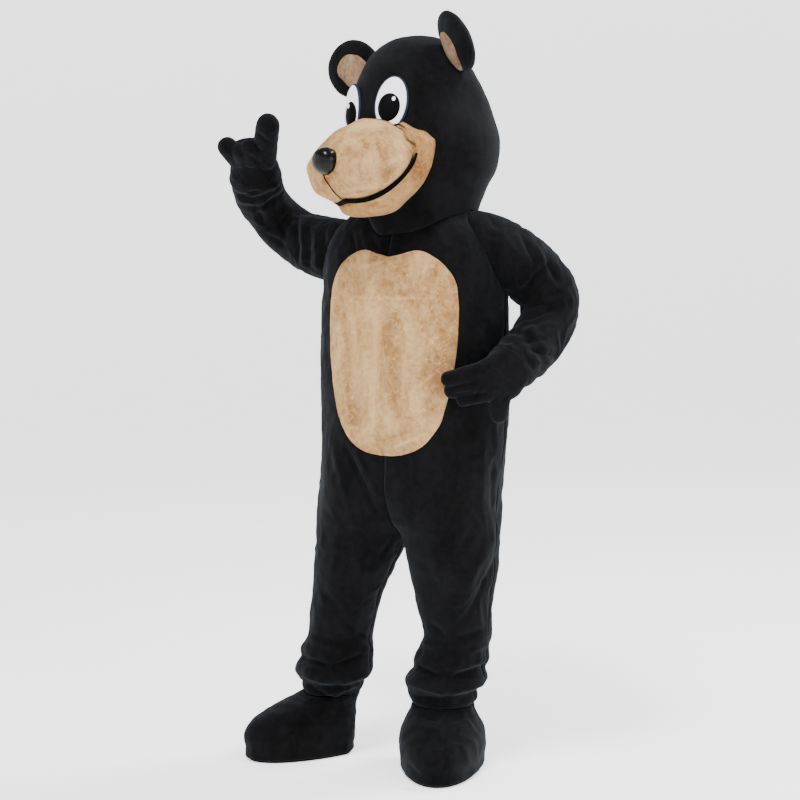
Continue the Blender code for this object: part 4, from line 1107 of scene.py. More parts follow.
def add_sleeve(side, word):
    """Lift = lines + 2.6 mm x sine rings near the wrist + wrinkles + unevenness, less at the edge."""
    turns = full_turn(SLEEVE_TURNS)
    points, normals, along = sleeve_grid(side, turns, SLEEVE_STEPS)
    lift = seen_lift(points, normals, SLEEVE_LINES[side])
    near_wrist = np.exp(-(((along - 6.2) / 0.8) ** 2))
    rings = np.sin(along * 9.0 + 1.6 * np.sin(turns + side)) * near_wrist
    lift = lift + 0.0026 * rings + 0.0034 * wrinkles(points, 0.06, 8)
    lift = lift + 0.0006 * unevenness(points, 0.028, 9)
    lift = lift * np.clip((WRIST - along) / 0.25, 0.15, 1)
    outer = points + (lift + edge_dip(points, True, 0.0020, 0.005))[..., None] * normals
    item = wall_object(f"sleeve_{word}_cloth", outer, outer - PLUSH * normals, True, BLACK)
    length, area = round(longest(outer, 0), 3), grid_area(outer, True)
    cloth(item, "black_plush", SLEEVE_CUT, length, "draped", f"sleeve_{word}", area=area)


add_sleeve(1, "left")
add_sleeve(-1, "right")

# %% [markdown]
# With the sleeves known, the panels are made and their armholes cut.

# %% Body panels
PANEL_STEPS = 284
PANEL_COLUMNS = 76


def armhole(side):
    """The upper sleeve, thinner by its cloth and the seam, as a closed cutter."""
    turns = full_turn(48)
    way = np.linspace(0.0, 2.6, 12)[:, None]
    rings = sleeve_point(side, turns + 0 * way, way, -PLUSH - SEAM_GAP)
    return closed_rings("armhole", rings, BLACK)


def add_panel(side, face, word):
    """One panel with its armhole cut out."""
    z = np.linspace(ANKLE_Z, NECK_Z, PANEL_STEPS)[:, None]
    outer, normals = panel_points(side, face, z, PANEL_COLUMNS)
    name = f"body_{face}_{word}"
    item = wall_object(name + "_cloth", outer, outer - PLUSH * normals, False, BLACK)
    hole = armhole(side)
    cut(item, "DIFFERENCE", hole)
    discard(hole)
    width, length = round(longest(outer, 1), 3), round(longest(outer, 0), 3)
    cloth(item, "black_plush", width, length, "draped", name)


for side, word in ((1, "left"), (-1, "right")):
    for face in ("front", "back"):
        add_panel(side, face, word)

# %% [markdown]
# The belly patch is a sheet of tan plush sewn on the front, so it is the same surface as the
# front panels, moved out by its own thickness. Its edge is pulled in by the stitches, and the
# outline of the cut trims it.

# %% Belly patch
PATCH_ROWS = (
    (0.850, 0.020, -0.015),
    (0.856, 0.052, -0.050),
    (0.870, 0.086, -0.084),
    (0.900, 0.118, -0.118),
    (0.950, 0.145, -0.143),
    (1.050, 0.168, -0.164),
    (1.150, 0.178, -0.172),
    (1.240, 0.178, -0.170),
    (1.295, 0.166, -0.158),
    (1.335, 0.138, -0.130),
    (1.358, 0.102, -0.094),
    (1.365, 0.070, -0.062),
    (1.356, 0.034, -0.028),
    (1.349, 0.004, 0.002),
)
PATCH_FROM = 0.80
PATCH_TO = 1.42
PATCH_STEPS = 190
PATCH_HALF_STEPS = 60
PATCH_PLUSH = 0.0025
PATCH_CUT = (0.356, 0.575)


def outline_points(count=15):
    """The outline as a closed chain, each stretch of the table cut into equal steps by a curve."""
    rows = np.array(PATCH_ROWS)
    at = np.linspace(0, len(rows) - 1, (len(rows) - 1) * count + 1)
    z, left, right = (glide(at, rows[:, k]) for k in range(3))
    x = np.concatenate([left, right[::-1]])
    chain = np.stack([x, np.concatenate([z, z[::-1]]) - HELD_HEIGHT], -1)
    pucker = unevenness(np.insert(chain, 1, 0.0, axis=1), 0.06, 61)[:, None]
    return chain * (1 + np.array([0.012, 0.0]) * pucker) + np.array([0.0, 0.0012]) * pucker


def chain_distance(spots, chain):
    """Shortest distance from each point to the straight stretches of a closed chain, in 2-D."""
    best = np.full(spots.shape[:-1], 9.0)
    for start, end in zip(chain, np.roll(chain, -1, 0)):
        way = end - start
        share = np.clip((spots - start) @ way / max(way @ way, 1e-12), 0, 1)
        best = np.minimum(best, np.linalg.norm(spots - start - share[..., None] * way, axis=-1))
    return best


def add_patch():
    """Both halves of the front side by side, moved out by the plush, cut to the outline."""
    z = np.linspace(PATCH_FROM, PATCH_TO, PATCH_STEPS)[:, None]
    halves = []
    for side in (-1, 1):
        points, normals = panel_points(side, "front", z, PATCH_HALF_STEPS, dip=0.0)
        order = slice(None, None, -1) if side < 0 else slice(None)
        halves.append((points[:, order], normals[:, order]))
    points, normals = (np.concatenate([a, b], 1) for a, b in zip(*halves))
    chain = outline_points()
    near = chain_distance(points[..., [0, 2]], chain[::3])
    lift = -0.0018 * np.exp(-((near / 0.007) ** 2))
    outer = points + (0.0010 + PATCH_PLUSH + lift)[..., None] * normals
    item = wall_object("belly_patch_cloth", outer, points - 0.0005 * normals, False, TAN)
    rings = [np.insert(chain, 1, depth, axis=1) for depth in (-0.32, -0.02)]
    tool = closed_rings("patch outline", np.array(rings), TAN)
    cut(item, "INTERSECT", tool)
    discard(tool)
    cloth(item, "tan_plush", *PATCH_CUT, "draped", "belly_patch")


add_patch()

# %% [markdown]
# A glove is a palm and four fingers, joined and rebuilt as one even skin, since stuffed plush
# hands show no hard joins. The skin is cut open at the wrist and given its thickness inward.

# %% Gloves
PALM_COLUMNS = ("along", "side", "out", "half_side", "half_out")
PALM_ROWS = {
    1: (
        (0.000, 0.000, 0.000, 0.062, 0.062),
        (0.020, -0.008, 0.002, 0.066, 0.052),
        (0.045, -0.010, 0.012, 0.064, 0.042),
        (0.070, -0.004, 0.026, 0.056, 0.036),
        (0.090, 0.004, 0.040, 0.044, 0.028),
        (0.100, 0.006, 0.048, 0.020, 0.014),
    ),
    -1: (
        (0.000, 0.000, 0.000, 0.065, 0.065),
        (0.020, 0.000, 0.000, 0.062, 0.050),
        (0.045, -0.002, 0.000, 0.058, 0.040),
        (0.070, -0.004, 0.000, 0.054, 0.036),
        (0.090, -0.006, 0.000, 0.044, 0.030),
        (0.102, -0.006, 0.000, 0.022, 0.016),
    ),
}
FINGER_ROWS = {
    1: (
        (0.070, 0.028, 0.024, 0.120, 0.026, 0.092, 0.024, 0.020),
        (0.074, -0.004, 0.026, 0.118, -0.006, 0.092, 0.025, 0.021),
        (0.066, -0.034, 0.022, 0.106, -0.036, 0.074, 0.023, 0.019),
        (0.040, -0.034, 0.000, 0.066, -0.096, 0.010, 0.026, 0.022),
    ),
    -1: (
        (0.050, 0.028, 0.004, 0.178, 0.050, 0.010, 0.034, 0.030),
        (0.066, -0.004, 0.020, 0.112, -0.004, 0.026, 0.024, 0.022),
        (0.060, -0.026, 0.018, 0.102, -0.028, 0.024, 0.022, 0.021),
        (0.034, -0.032, 0.004, 0.100, -0.060, 0.010, 0.028, 0.026),
    ),
}
GLOVE_VOXEL = 0.0026
GLOVE_CUT = (0.44, 0.24)
PALM_UP = {1: (0.0, 0.0, 1.0), -1: (0.9135, 0.4067, 0.0)}
GLOVE_LINES = {
    1: (
        (474, 392, 452, 396, 2.0, -0.003),
        (486, 380, 470, 404, 2.4, -0.003),
        (496, 386, 486, 402, 2.4, 0.002),
        (510, 392, 497, 408, 2.4, -0.003),
    ),
    -1: (
        (256, 132, 268, 142, 2.2, -0.003),
        (246, 140, 262, 152, 2.2, -0.003),
        (240, 150, 262, 164, 2.4, -0.003),
        (262, 160, 272, 170, 2.4, 0.002),
    ),
}


def hand_frame(side):
    """Where the hand starts and its directions along, side and out, one to a row."""
    start = sleeve_middle(side, np.array(WRIST))
    ahead = sleeve_frame(side, np.array(WRIST))[2]
    across = np.array(PALM_UP[side]) - ahead * np.dot(PALM_UP[side], ahead)
    across = across / np.linalg.norm(across)
    out = np.cross(across, ahead) * (-1 if side > 0 else 1)
    return start, np.stack([ahead, across, out])


def capsule_rings(low, high, low_radius, high_radius):
    """A tapered tube with round ends: radius x cos lean, moved on by radius x sin lean."""
    way = (high - low) / np.linalg.norm(high - low)
    first = np.cross(way, (0.3, 0.2, 0.9))
    first = first / np.linalg.norm(first)
    second = np.cross(way, first)
    lean = np.concatenate([np.linspace(-80, -5, 8), np.linspace(5, 80, 8)])
    lean = np.radians(lean)[:, None, None]
    late = (lean > 0).astype(float)
    centre = low + (high - low) * late
    radius = low_radius + (high_radius - low_radius) * late
    turn = full_turn(28)[None, :, None]
    spoke = np.cos(turn) * first + np.sin(turn) * second
    return centre + way * radius * np.sin(lean) + spoke * radius * np.cos(lean)


def palm_rings(side):
    """Ovals along the palm; the first is set back so that the cut at the wrist is clean."""
    rows = table(PALM_COLUMNS, PALM_ROWS[side])
    at = np.linspace(0, 5, 26)
    columns = (glide(at, rows[key])[:, None] for key in PALM_COLUMNS)
    along, beside, out, half_side, half_out = columns
    turn = full_turn(48)[None, :]
    along = along - np.where(at == 0, 0.012, 0.0)[:, None]
    aside, outward_way = beside + half_side * np.cos(turn), out + half_out * np.sin(turn)
    return np.stack([along + 0 * turn, aside, outward_way], -1)


def add_glove(side, word):
    """Palm and fingers joined, softened, cut open at the wrist and given a wall inward."""
    start, axes = hand_frame(side)
    item = closed_rings(f"glove_{word}_cloth", start + palm_rings(side) @ axes, BLACK)
    tubes = []
    for row in FINGER_ROWS[side]:
        rings = capsule_rings(np.array(row[:3]), np.array(row[3:6]), row[6], row[7])
        tubes.append(closed_rings("finger", start + rings @ axes, BLACK))
    cut(item, "UNION", *tubes)
    discard(*tubes)
    soften(item, GLOVE_VOXEL, 6)
    work = bmesh.new()
    work.from_mesh(item.data)
    everything = work.verts[:] + work.edges[:] + work.faces[:]
    wrist = start + 0.0004 * axes[0]
    bmesh.ops.bisect_plane(
        work, geom=everything, plane_co=wrist, plane_no=axes[0], clear_inner=True
    )
    work.to_mesh(item.data)
    work.free()

    def relief(points, normals):
        lift = seen_lift(points, normals, GLOVE_LINES[side]) + 0.0010 * unevenness(points, 0.04, 11)
        return lift + 0.0005 * unevenness(points, 0.02, 12)

    shift(item, relief)
    area = skin_area(item)
    wall = item.modifiers.new("cloth", "SOLIDIFY")
    wall.thickness = PLUSH
    wall.offset = -1
    settle(item)
    cloth(item, "black_plush", *GLOVE_CUT, "draped", f"glove_{word}", area=area)


add_glove(1, "left")
add_glove(-1, "right")

# %% [markdown]
# A boot cover is a loft from the sole up to the ring of the trouser leg. A seam runs up the middle
# of its front, and the cloth bunches where the foot bends.

# %% Boots and soles
BOOT_COLUMNS = ("z", "front", "back", "side", "aside")
BOOT_ROWS = (
    (0.0263, 0.238, 0.066, 0.111, 1.00),
    (0.060, 0.243, 0.072, 0.115, 1.00),
    (0.090, 0.230, 0.074, 0.112, 0.95),
    (0.115, 0.192, 0.075, 0.102, 0.80),
    (0.135, 0.146, 0.076, 0.092, 0.55),
    (0.150, 0.106, 0.077, 0.085, 0.30),
)
BOOT = table(BOOT_COLUMNS, BOOT_ROWS)
BOOT_ASIDE = {1: (0.0, 0.0), -1: (-0.035, 0.017)}
BOOT_HEADINGS = {1: 18.0, -1: -30.0}
SOLE_TOP = 0.026
SOLE_EDGE = 0.004
SOLE_INSET = 0.006
BOOT_STEPS = 100
BOOT_TURNS = 152
BOOT_CUT = (0.66, 0.26)
BOOT_LOW_Z = (0.003, 0.011)
BOOT_LOW = {
    "front": (0.230, 0.239),
    "back": (0.058, 0.067),
    "side": (0.102, 0.111),
    "aside": (1.0, 1.0),
}
BOOT_LINES = {
    1: (
        (446, 712, 441, 781, 1.5, -0.0040),
        (418, 716, 440, 722, 2.2, -0.0035),
        (452, 722, 474, 714, 2.2, -0.0035),
        (425, 728, 440, 731, 2.4, 0.0025),
        (456, 731, 474, 724, 2.4, 0.0025),
    ),
    -1: (
        (328, 706, 262, 752, 1.5, -0.0040),
        (296, 694, 322, 704, 2.2, -0.0035),
        (326, 712, 350, 716, 2.2, -0.0035),
        (284, 702, 306, 712, 2.4, 0.0025),
        (322, 724, 346, 728, 2.4, 0.0025),
    ),
}


def boot_frame(side):
    """The middle of the ankle and the boot's forward and sideways directions."""
    z = np.array(ANKLE_Z)
    x = body_value(side, "mid", z) + side * body_value(side, "inset", z)
    a = math.radians(BOOT_HEADINGS[side])
    ahead = np.array([math.sin(a), -math.cos(a), 0])
    middle = np.array([x, body_value(side, "along_y", z), -HELD_HEIGHT])
    return middle, ahead, np.array([-ahead[1], ahead[0], 0])


def boot_ring(side, turn, z, front, back, width, aside, grow=0.0):
    """An oval about the ankle: cos turn ahead or back, sin turn aside, moved by the foot's step."""
    middle, ahead, across = boot_frame(side)
    reach = np.where(np.cos(turn) > 0, front, back) + grow
    shift = np.multiply.outer(aside, np.array([*BOOT_ASIDE[side], 0]))
    level = np.multiply.outer(z, np.array([0, 0, 1]))
    spokes = np.multiply.outer(reach * np.cos(turn), ahead)
    spokes = spokes + np.multiply.outer((width + grow) * np.sin(turn), across)
    return middle + shift + level + spokes


def add_boot(side, word):
    """The cover's grid from sole to ankle with its lines and wrinkles, then a rounded foam sole."""
    leg = body_value(side, "half_width", np.array(ANKLE_Z))
    top = {"front": leg, "back": leg, "side": leg, "aside": 0.0}
    levels = np.concatenate([BOOT_LOW_Z, BOOT["z"], [ANKLE_Z - SEAM_GAP]])
    share = np.linspace(0, 1, BOOT_STEPS) ** 0.9
    z = (share * (levels[-1] - levels[0]) + levels[0])[:, None]
    turn = full_turn(BOOT_TURNS)[None, :]
    sizes = []
    for key in top:
        values = np.concatenate([BOOT_LOW[key], BOOT[key], [top[key]]])
        sizes.append(smooth(z, levels, values) + 0 * turn)
    points = boot_ring(side, turn + 0 * z, z + 0 * turn, *sizes)
    normals = outward_normals(points, True)
    lift = seen_lift(points, normals, BOOT_LINES[side])
    lift = lift + 0.0024 * wrinkles(points, 0.07, 21) + 0.0006 * unevenness(points, 0.028, 22)
    outer = points + (lift + edge_dip(points, True, 0.0025, 0.005))[..., None] * normals
    item = wall_object(f"boot_{word}_cloth", outer, outer - PLUSH * normals, True, BLACK)
    area = grid_area(outer, True)
    cloth(item, "black_plush", *BOOT_CUT, "draped", f"boot_{word}", area=area)
    base = [BOOT[key][0] - SOLE_INSET for key in ("front", "back", "side")] + [1.0]
    lean = np.linspace(-math.pi / 2, math.pi / 2, 13)
    levels = SOLE_TOP / 2 + (SOLE_TOP / 2) * np.sin(lean)
    grow = -SOLE_EDGE * (1 - np.cos(lean))
    turns = turn[0]
    sizes = [np.full(turns.shape, value) for value in base]
    rings = []
    for level, wider in zip(levels, grow):
        rings.append(boot_ring(side, turns, np.full(turns.shape, level), *sizes, grow=wider))
    sole = closed_rings(f"sole_{word}_foam", np.array(rings), SOLE)
    stuffed(sole, "sole", f"sole_{word}")


add_boot(1, "left")
add_boot(-1, "right")

# %% [markdown]
# The head is a foam form covered in plush: a stack of ovals from the crown down to the hem, which
# rests on the shoulders. It has a frame of its own, nodding and turned towards the raised hand.

# %% Head shell
HEAD_WALL = 0.012
HEAD_POINT = (0.018, 0.008, 1.60)
HEAD_YAW = 21.0
HEAD_ROLL = 6.5
HEAD_COLUMNS = ("step", "up", "side", "front", "back")
HEAD_ROWS = (
    (0, 0.306, 0.000, 0.000, 0.000),
    (1, 0.296, 0.056, 0.060, 0.058),
    (2, 0.269, 0.102, 0.108, 0.102),
    (3, 0.217, 0.138, 0.148, 0.136),
    (4, 0.157, 0.167, 0.176, 0.165),
    (5, 0.090, 0.187, 0.194, 0.186),
    (6, 0.020, 0.199, 0.196, 0.198),
    (7, -0.045, 0.188, 0.186, 0.186),
    (8, -0.100, 0.156, 0.178, 0.152),
    (9, -0.150, 0.132, 0.180, 0.134),
    (10, -0.200, 0.130, 0.188, 0.132),
)
HEAD = table(HEAD_COLUMNS, HEAD_ROWS)
HEM_CLEAR = 0.0024
HEAD_TURNS = 164
HEAD_STEPS = 168
CROWN_FADE = 13


def turn_about(axis, degrees):
    """A matrix that turns row vectors about one axis."""
    a = math.radians(degrees)
    c, s = math.cos(a), math.sin(a)
    grids = {
        "x": [[1, 0, 0], [0, c, s], [0, -s, c]],
        "y": [[c, 0, -s], [0, 1, 0], [s, 0, c]],
        "z": [[c, s, 0], [-s, c, 0], [0, 0, 1]],
    }
    return np.array(grids[axis])


HEAD_TURN = turn_about("y", -HEAD_ROLL) @ turn_about("z", -HEAD_YAW)


def head_place(points):
    """From the head's own frame into the row frame: turned, then moved."""
    return points @ HEAD_TURN + np.array(HEAD_POINT) - np.array([0, 0, HELD_HEIGHT])


def head_point(turn, step, grow=0.0):
    """An oval at each step down from the crown: turn 0 is its left, a quarter its front."""
    turn, step = np.broadcast_arrays(np.asarray(turn, float), np.asarray(step, float))
    keys = ("side", "front", "back", "up")
    side, front, back, up = (smooth(step, HEAD["step"], HEAD[key]) for key in keys)
    reach = np.where(np.sin(turn) > 0, front, back)
    rise = up * np.where(up > 0, 1 + grow / HEAD["up"][0], 1)
    x = np.maximum(side + grow, 0.0) * np.cos(turn)
    y = -np.maximum(reach + grow, 0.0) * np.sin(turn)
    return np.stack([x, y, rise], -1)


def inside_sleeve(side, points, grow):
    """Whether points lie within the upper part of a sleeve grown by a distance."""
    steps = np.linspace(0, 3, 61)
    away = np.linalg.norm(points[..., None, :] - sleeve_middle(side, steps), axis=-1)
    return (away < glide(steps, SLEEVES[side]["radius"]) + grow).any(-1)


def hem_step(turns, grow):
    """For each turn, the step at which the head's wall comes down onto the shoulders."""
    steps = np.linspace(7, HEAD["step"][-1], 301)
    points = head_place(head_point(turns[:, None], steps[None, :], grow))
    inside = inside_body(points, HEM_CLEAR)
    for side in (1, -1):
        inside |= inside_sleeve(side, points, HEM_CLEAR)
    first = np.where(inside.any(1), np.argmax(inside, axis=1), steps.size)
    step = steps[np.maximum(first - 1, 0)]
    reach = max(turns.size // 24, 1)
    least = np.min([np.roll(step, k) for k in range(-reach, reach + 1)], axis=0)
    return np.mean([np.roll(least, k) for k in range(-reach, reach + 1)], axis=0)


def head_grid(turn_count, row_count, grow, reach_from):
    """Rings from the hem up to a step near the crown."""
    turns = full_turn(turn_count)
    hem = hem_step(turns, min(grow, 0.0))
    steps = hem + (reach_from - hem) * np.linspace(0, 1, row_count)[:, None]
    return head_point(turns + 0 * steps, steps, grow)


def head_tool():
    """A closed solid of the head, with a hair to spare, that trims what sits on it."""
    rings = head_grid(96, 60, SEAM_GAP, 0.1)
    below = rings[:1] - np.array([0, 0, 0.06])
    return closed_rings("head form", head_place(np.concatenate([below, rings])), BLACK)


def add_head():
    """Outer and inner grids with a dip along the hem, closed over the crown."""
    outer = head_place(head_grid(HEAD_TURNS, HEAD_STEPS, 0.0, 0.06))
    inner = head_place(head_grid(HEAD_TURNS, HEAD_STEPS, -HEAD_WALL, 0.7))
    normals = outward_normals(outer, True)
    row = np.arange(HEAD_STEPS)
    lift = 0.0020 * unevenness(outer, 0.11, 31) + 0.0008 * unevenness(outer, 0.035, 32)
    lift = lift + edge_dip(outer, True, 0.0030, 0.008) * (row < HEAD_STEPS // 2)[:, None]
    fade = np.clip((HEAD_STEPS - row) / CROWN_FADE, 0.1, 1)[:, None]
    outer = outer + (lift * fade)[..., None] * normals
    rows, columns = outer.shape[:2]
    count = rows * columns
    skin = grid_faces(rows, columns, True)
    first = np.arange(columns)
    after = (first + 1) % columns
    rim = np.stack([first, count + first, count + after, after], -1)
    top = (rows - 1) * columns
    crown = np.stack([np.full(columns, 2 * count), top + first, top + after], -1)
    under = count + top
    hollow = np.stack([np.full(columns, 2 * count + 1), under + after, under + first], -1)
    tops = [outer[-1].mean(0), inner[-1].mean(0)]
    points = np.concatenate([outer.reshape(-1, 3), inner.reshape(-1, 3), tops])
    faces = [skin, count + skin[:, ::-1], rim, crown, hollow]
    item = mesh_object("head_plush", points, faces, BLACK)
    # Painted highlights: paler lines on the head where its hem, seams and crown catch the light.
    paint_line(item, "pale", PAINTED_HIGHLIGHT_LINES)
    stuffed(outward(item), "black_plush", "head_shell")


add_head()
HEAD_FORM = head_tool()

# %% [markdown]
# Muzzle, jaw and ears are stuffed lumps. A lump is an ellipsoid with its own reach to each side,
# made a little square, and a Boolean trims it to what it rests on. Some of its points are nudged
# across the view, by a few pixels round a spot, because real stuffing is less even than an
# ellipsoid: a nudge's row is the spot, the shift right and down and the size, all in pixels. The
# mouth is a dark lining in the gap between the lips. Black piping, laid where the view's lines
# through a few pixels meet the snout, draws the lip line and the seam under the nose.

# %% Muzzle, jaw, mouth and nose
MUZZLE_WALL = 0.009
MUZZLE_CENTRE = (0, -0.190, -0.011)
MUZZLE_AXES = (0.144, 0.154, 0.110, 0.106, 0.103)
MUZZLE_NOD = 18.0
MUZZLE_SQUARE = 2.35
JAW_CENTRE = (0, -0.128, 0.015)
JAW_AXES = (0.160, 0.208, 0.100, 0.089, 0.111)
JAW_NOD = 46.0
JAW_SQUARE = 2.15
LIP_GAP = 0.008
LIP_SINK = 0.006
NOSE_SPOT = (0, -0.147, 0.043)
NOSE_AXES = (0.034, 0.026, 0.034, 0.034, 0.034)
MUZZLE_LINES = (
    (335, 150, 365, 157, 2.2, -0.0040),
    (337, 145, 366, 151, 2.6, 0.0030),
    (348, 160, 372, 172, 4.0, 0.0025),
)
MUZZLE_NUDGES = (
    (412, 132, -3.0, 6.0, 9.0),
    (398, 121, -1.0, 5.0, 10.0),
    (375, 117, 0.0, 2.5, 12.0),
    (350, 122, 0.5, 2.0, 10.0),
    (322, 142, 0.5, 0.5, 10.0),
    (307, 168, -2.5, 0.0, 9.0),
    (317, 191, -1.5, 1.0, 8.0),
)
JAW_NUDGES = (
    (418, 119, 0.0, 7.5, 12.0),
    (432, 130, 0.0, 5.0, 8.0),
    (333, 206, 6.0, 0.0, 9.0),
    (392, 210, 2.0, 2.5, 14.0),
)


def nudge(points, rows):
    """Moves points across the view: the sum of shift x exp(-(pixels away / size)^2), in pixels."""
    right, up, ahead = camera_axes()
    spots = picture(points)
    scale = ((points - EYE) @ ahead / FOCAL_PIXELS)[..., None]
    moved = 0
    for x, y, aside, down, size in rows:
        near = np.exp(-(((spots - np.array([x, y])) ** 2).sum(-1) / size**2))[..., None]
        moved = moved + near * (aside * right - down * up) * scale
    return points + moved


def lump(name, centre, axes, place, material, square=2.0, turns=96, relief=None, nudges=()):
    """x, y, z = axes x signed powers of cos and sin; the front reach for negative y."""
    side, front, back, up, down = axes
    lean = np.radians(np.linspace(-88, 88, turns // 2))[:, None]
    turn = full_turn(turns)[None, :]
    x = side * signed_power(np.cos(turn), 2 / square) * np.cos(lean)
    reach = np.where(np.sin(turn) < 0, front, back)
    y = reach * signed_power(np.sin(turn), 2 / square) * np.cos(lean)
    z = np.where(lean > 0, up, down) * np.sin(lean) + 0 * turn
    rings = nudge(place(np.stack([x, y, z], -1) + np.array(centre)), nudges)
    if relief is not None:
        normals = outward_normals(rings, True)
        rings = rings + relief(np.stack([x, y, z], -1), rings, normals)[..., None] * normals
    return closed_rings(name, rings, material)


def grown(axes, by):
    """Every reach made longer by one distance."""
    return tuple(axis + by for axis in axes)


def muzzle_place(points):
    """Nodded, moved to the muzzle's centre, then placed with the head."""
    return head_place(points @ turn_about("x", MUZZLE_NOD) + np.array(MUZZLE_CENTRE))


def jaw_place(points):
    """Nodded, moved to the jaw's centre, then placed with the head."""
    return head_place(points @ turn_about("x", JAW_NOD) + np.array(JAW_CENTRE))


def muzzle_lump(name, grow, relief=None):
    """The muzzle's form grown by a distance, on a finer grid when it shows."""
    turns = 200 if relief else 96
    axes = grown(MUZZLE_AXES, grow)
    form = (muzzle_place, TAN, MUZZLE_SQUARE, turns, relief, MUZZLE_NUDGES)
    return lump(name, (0, 0, 0), axes, *form)


def jaw_lump(name, grow, material, relief=None):
    """The jaw's form grown by a distance."""
    form = (grown(JAW_AXES, grow), jaw_place, material, JAW_SQUARE)
    return lump(name, (0, 0, 0), *form, relief=relief, nudges=JAW_NUDGES)


def muzzle_relief(local, points, normals):
    """Lines by pixel, a hollow beside the bridge and a fuller lip on each side, and a groove down
    the middle: depth x exp(-(distance / size)^2)."""
    lift = seen_lift(points, normals, MUZZLE_LINES) + 0.0012 * unevenness(points, 0.05, 41)
    for side in (-1, 1):
        spot = np.array([side * 0.088, -0.030, 0.080])
        lift = lift - 0.008 * np.exp(-(np.linalg.norm(local - spot, axis=-1) / 0.055) ** 2)
        lip = np.array([side * 0.045, -0.135, -0.040])
        lift = lift + 0.005 * np.exp(-(np.linalg.norm(local - lip, axis=-1) / 0.045) ** 2)
    middle = np.exp(-((local[..., 0] / 0.006) ** 2)) * (local[..., 2] < 0.02) * (local[..., 1] < 0)
    return lift - 0.004 * middle


def jaw_relief(local, points, normals):
    """Unevenness alone."""
    return 0.0012 * unevenness(points, 0.05, 42)


# Painted highlights on the muzzle: a paler top and rim where the light falls.
MUZZLE_PAINTED_HIGHLIGHTS = (
    (345, 128, 385, 122, 6.0, 0.8),
    (385, 122, 408, 140, 4.0, 0.5),
    (385, 165, 405, 155, 4.0, 0.4),
    (345, 190, 378, 186, 2.0, 0.4),
    (306, 165, 308, 185, 2.0, 0.6),
)
SEAM_PIXELS = ((323, 173), (325, 179), (329, 185), (334, 192), (341, 199))
LIP_PIXELS = (
    (341, 200), (349, 201), (358, 201), (370, 199), (382, 194),
    (394, 186), (405, 175), (413, 164), (417, 153),
)
LIP_STEPS = 60
LIP_STATIONS = (0, 12, 30, 50, 59)
LIP_RADII = (0.0056, 0.0064, 0.0042, 0.0034, 0.0022)
FAR_LIP_RADIUS = 0.0040
MIDDLE_STEPS = 3
SEAM_STEPS = 30
SEAM_RADIUS = 0.0022
MOUTH_CORNER = (412, 153)
# JAW_PAINTED_HIGHLIGHTS holds painted highlights on the jaw: paler lines where its edges catch the
# light.
JAW_PAINTED_HIGHLIGHTS = ((418, 132, 430, 140, 2.0, 0.5), (380, 212, 404, 198, 1.5, 0.3))
HOLLOW_SINK = 0.014
SNOUT_MIDDLE = (0, -0.09, 0.0)
MUZZLE_FORM = muzzle_lump("muzzle form", SEAM_GAP)
JAW_FORM = jaw_lump("jaw form", SEAM_GAP, TAN)


def trace(items, pixels, spread=0.0):
    """The first point met by the view's line through each pixel, the nearest of five close lines."""
    right, up, ahead = camera_axes()
    bpy.context.view_layer.update()
    reach = []
    for x, y in pixels:
        away = []
        for aside, down in ((0, 0), (spread, 0), (-spread, 0), (0, spread), (0, -spread)):
            way = ahead * FOCAL_PIXELS + right * (x + aside - PICTURE / 2)
            way = way + up * (PICTURE / 2 - y - down)
            hits = [item.ray_cast(EYE.tolist(), way.tolist()) for item in items]
            away += [(np.array(hit[1]) - EYE) @ ahead for hit in hits if hit[0]]
        reach.append(min(away))
    reach = smooth_row(reach)[:, None]
    offset = (np.array(pixels) - PICTURE / 2) * [1, -1] / FOCAL_PIXELS
    return EYE + reach * (ahead + offset[:, :1] * right + offset[:, 1:] * up)


def smooth_row(values, rounds=6):
    """Each value moves to the mean of itself and its two neighbours, the ends apart."""
    row = np.array(values, float)
    for _ in range(rounds):
        row[1:-1] = (row[:-2] + row[1:-1] + row[2:]) / 3
    return row


def head_local(points):
    """Points in the head's own frame: the placing undone."""
    return (points + np.array([0, 0, HELD_HEIGHT]) - np.array(HEAD_POINT)) @ HEAD_TURN.T


def laid_between(one, other, points):
    """Each point moved midway between its nearest spots on two objects."""
    spots = []
    for point in points.tolist():
        spots.append([np.array(item.closest_point_on_mesh(point)[1]) for item in (one, other)])
    return np.array(spots).mean(1)


def head_height(points):
    """Height above the middle of the head, in its own frame."""
    return head_local(points)[..., 2]


def piping(name, path, radius):
    """A flattened tube along a path: point + r cos t x side + 0.5 r sin t x outward."""
    local = head_local(path)
    out = local - np.array(SNOUT_MIDDLE)
    out = out / np.linalg.norm(out, axis=-1, keepdims=True)
    aside = np.cross(np.gradient(local, axis=0), out)
    aside = aside / np.linalg.norm(aside, axis=-1, keepdims=True)
    turn = full_turn(14)[None, :, None]
    radius = np.asarray(radius)[:, None, None]
    rings = local[:, None] + radius * np.cos(turn) * aside[:, None]
    rings = rings + 0.5 * radius * np.sin(turn) * out[:, None]
    belongs(closed_rings(name, head_place(rings), FELT), "mouth_lining")
    print(f"{name}: {longest(path, 0):.3f} m of piping")


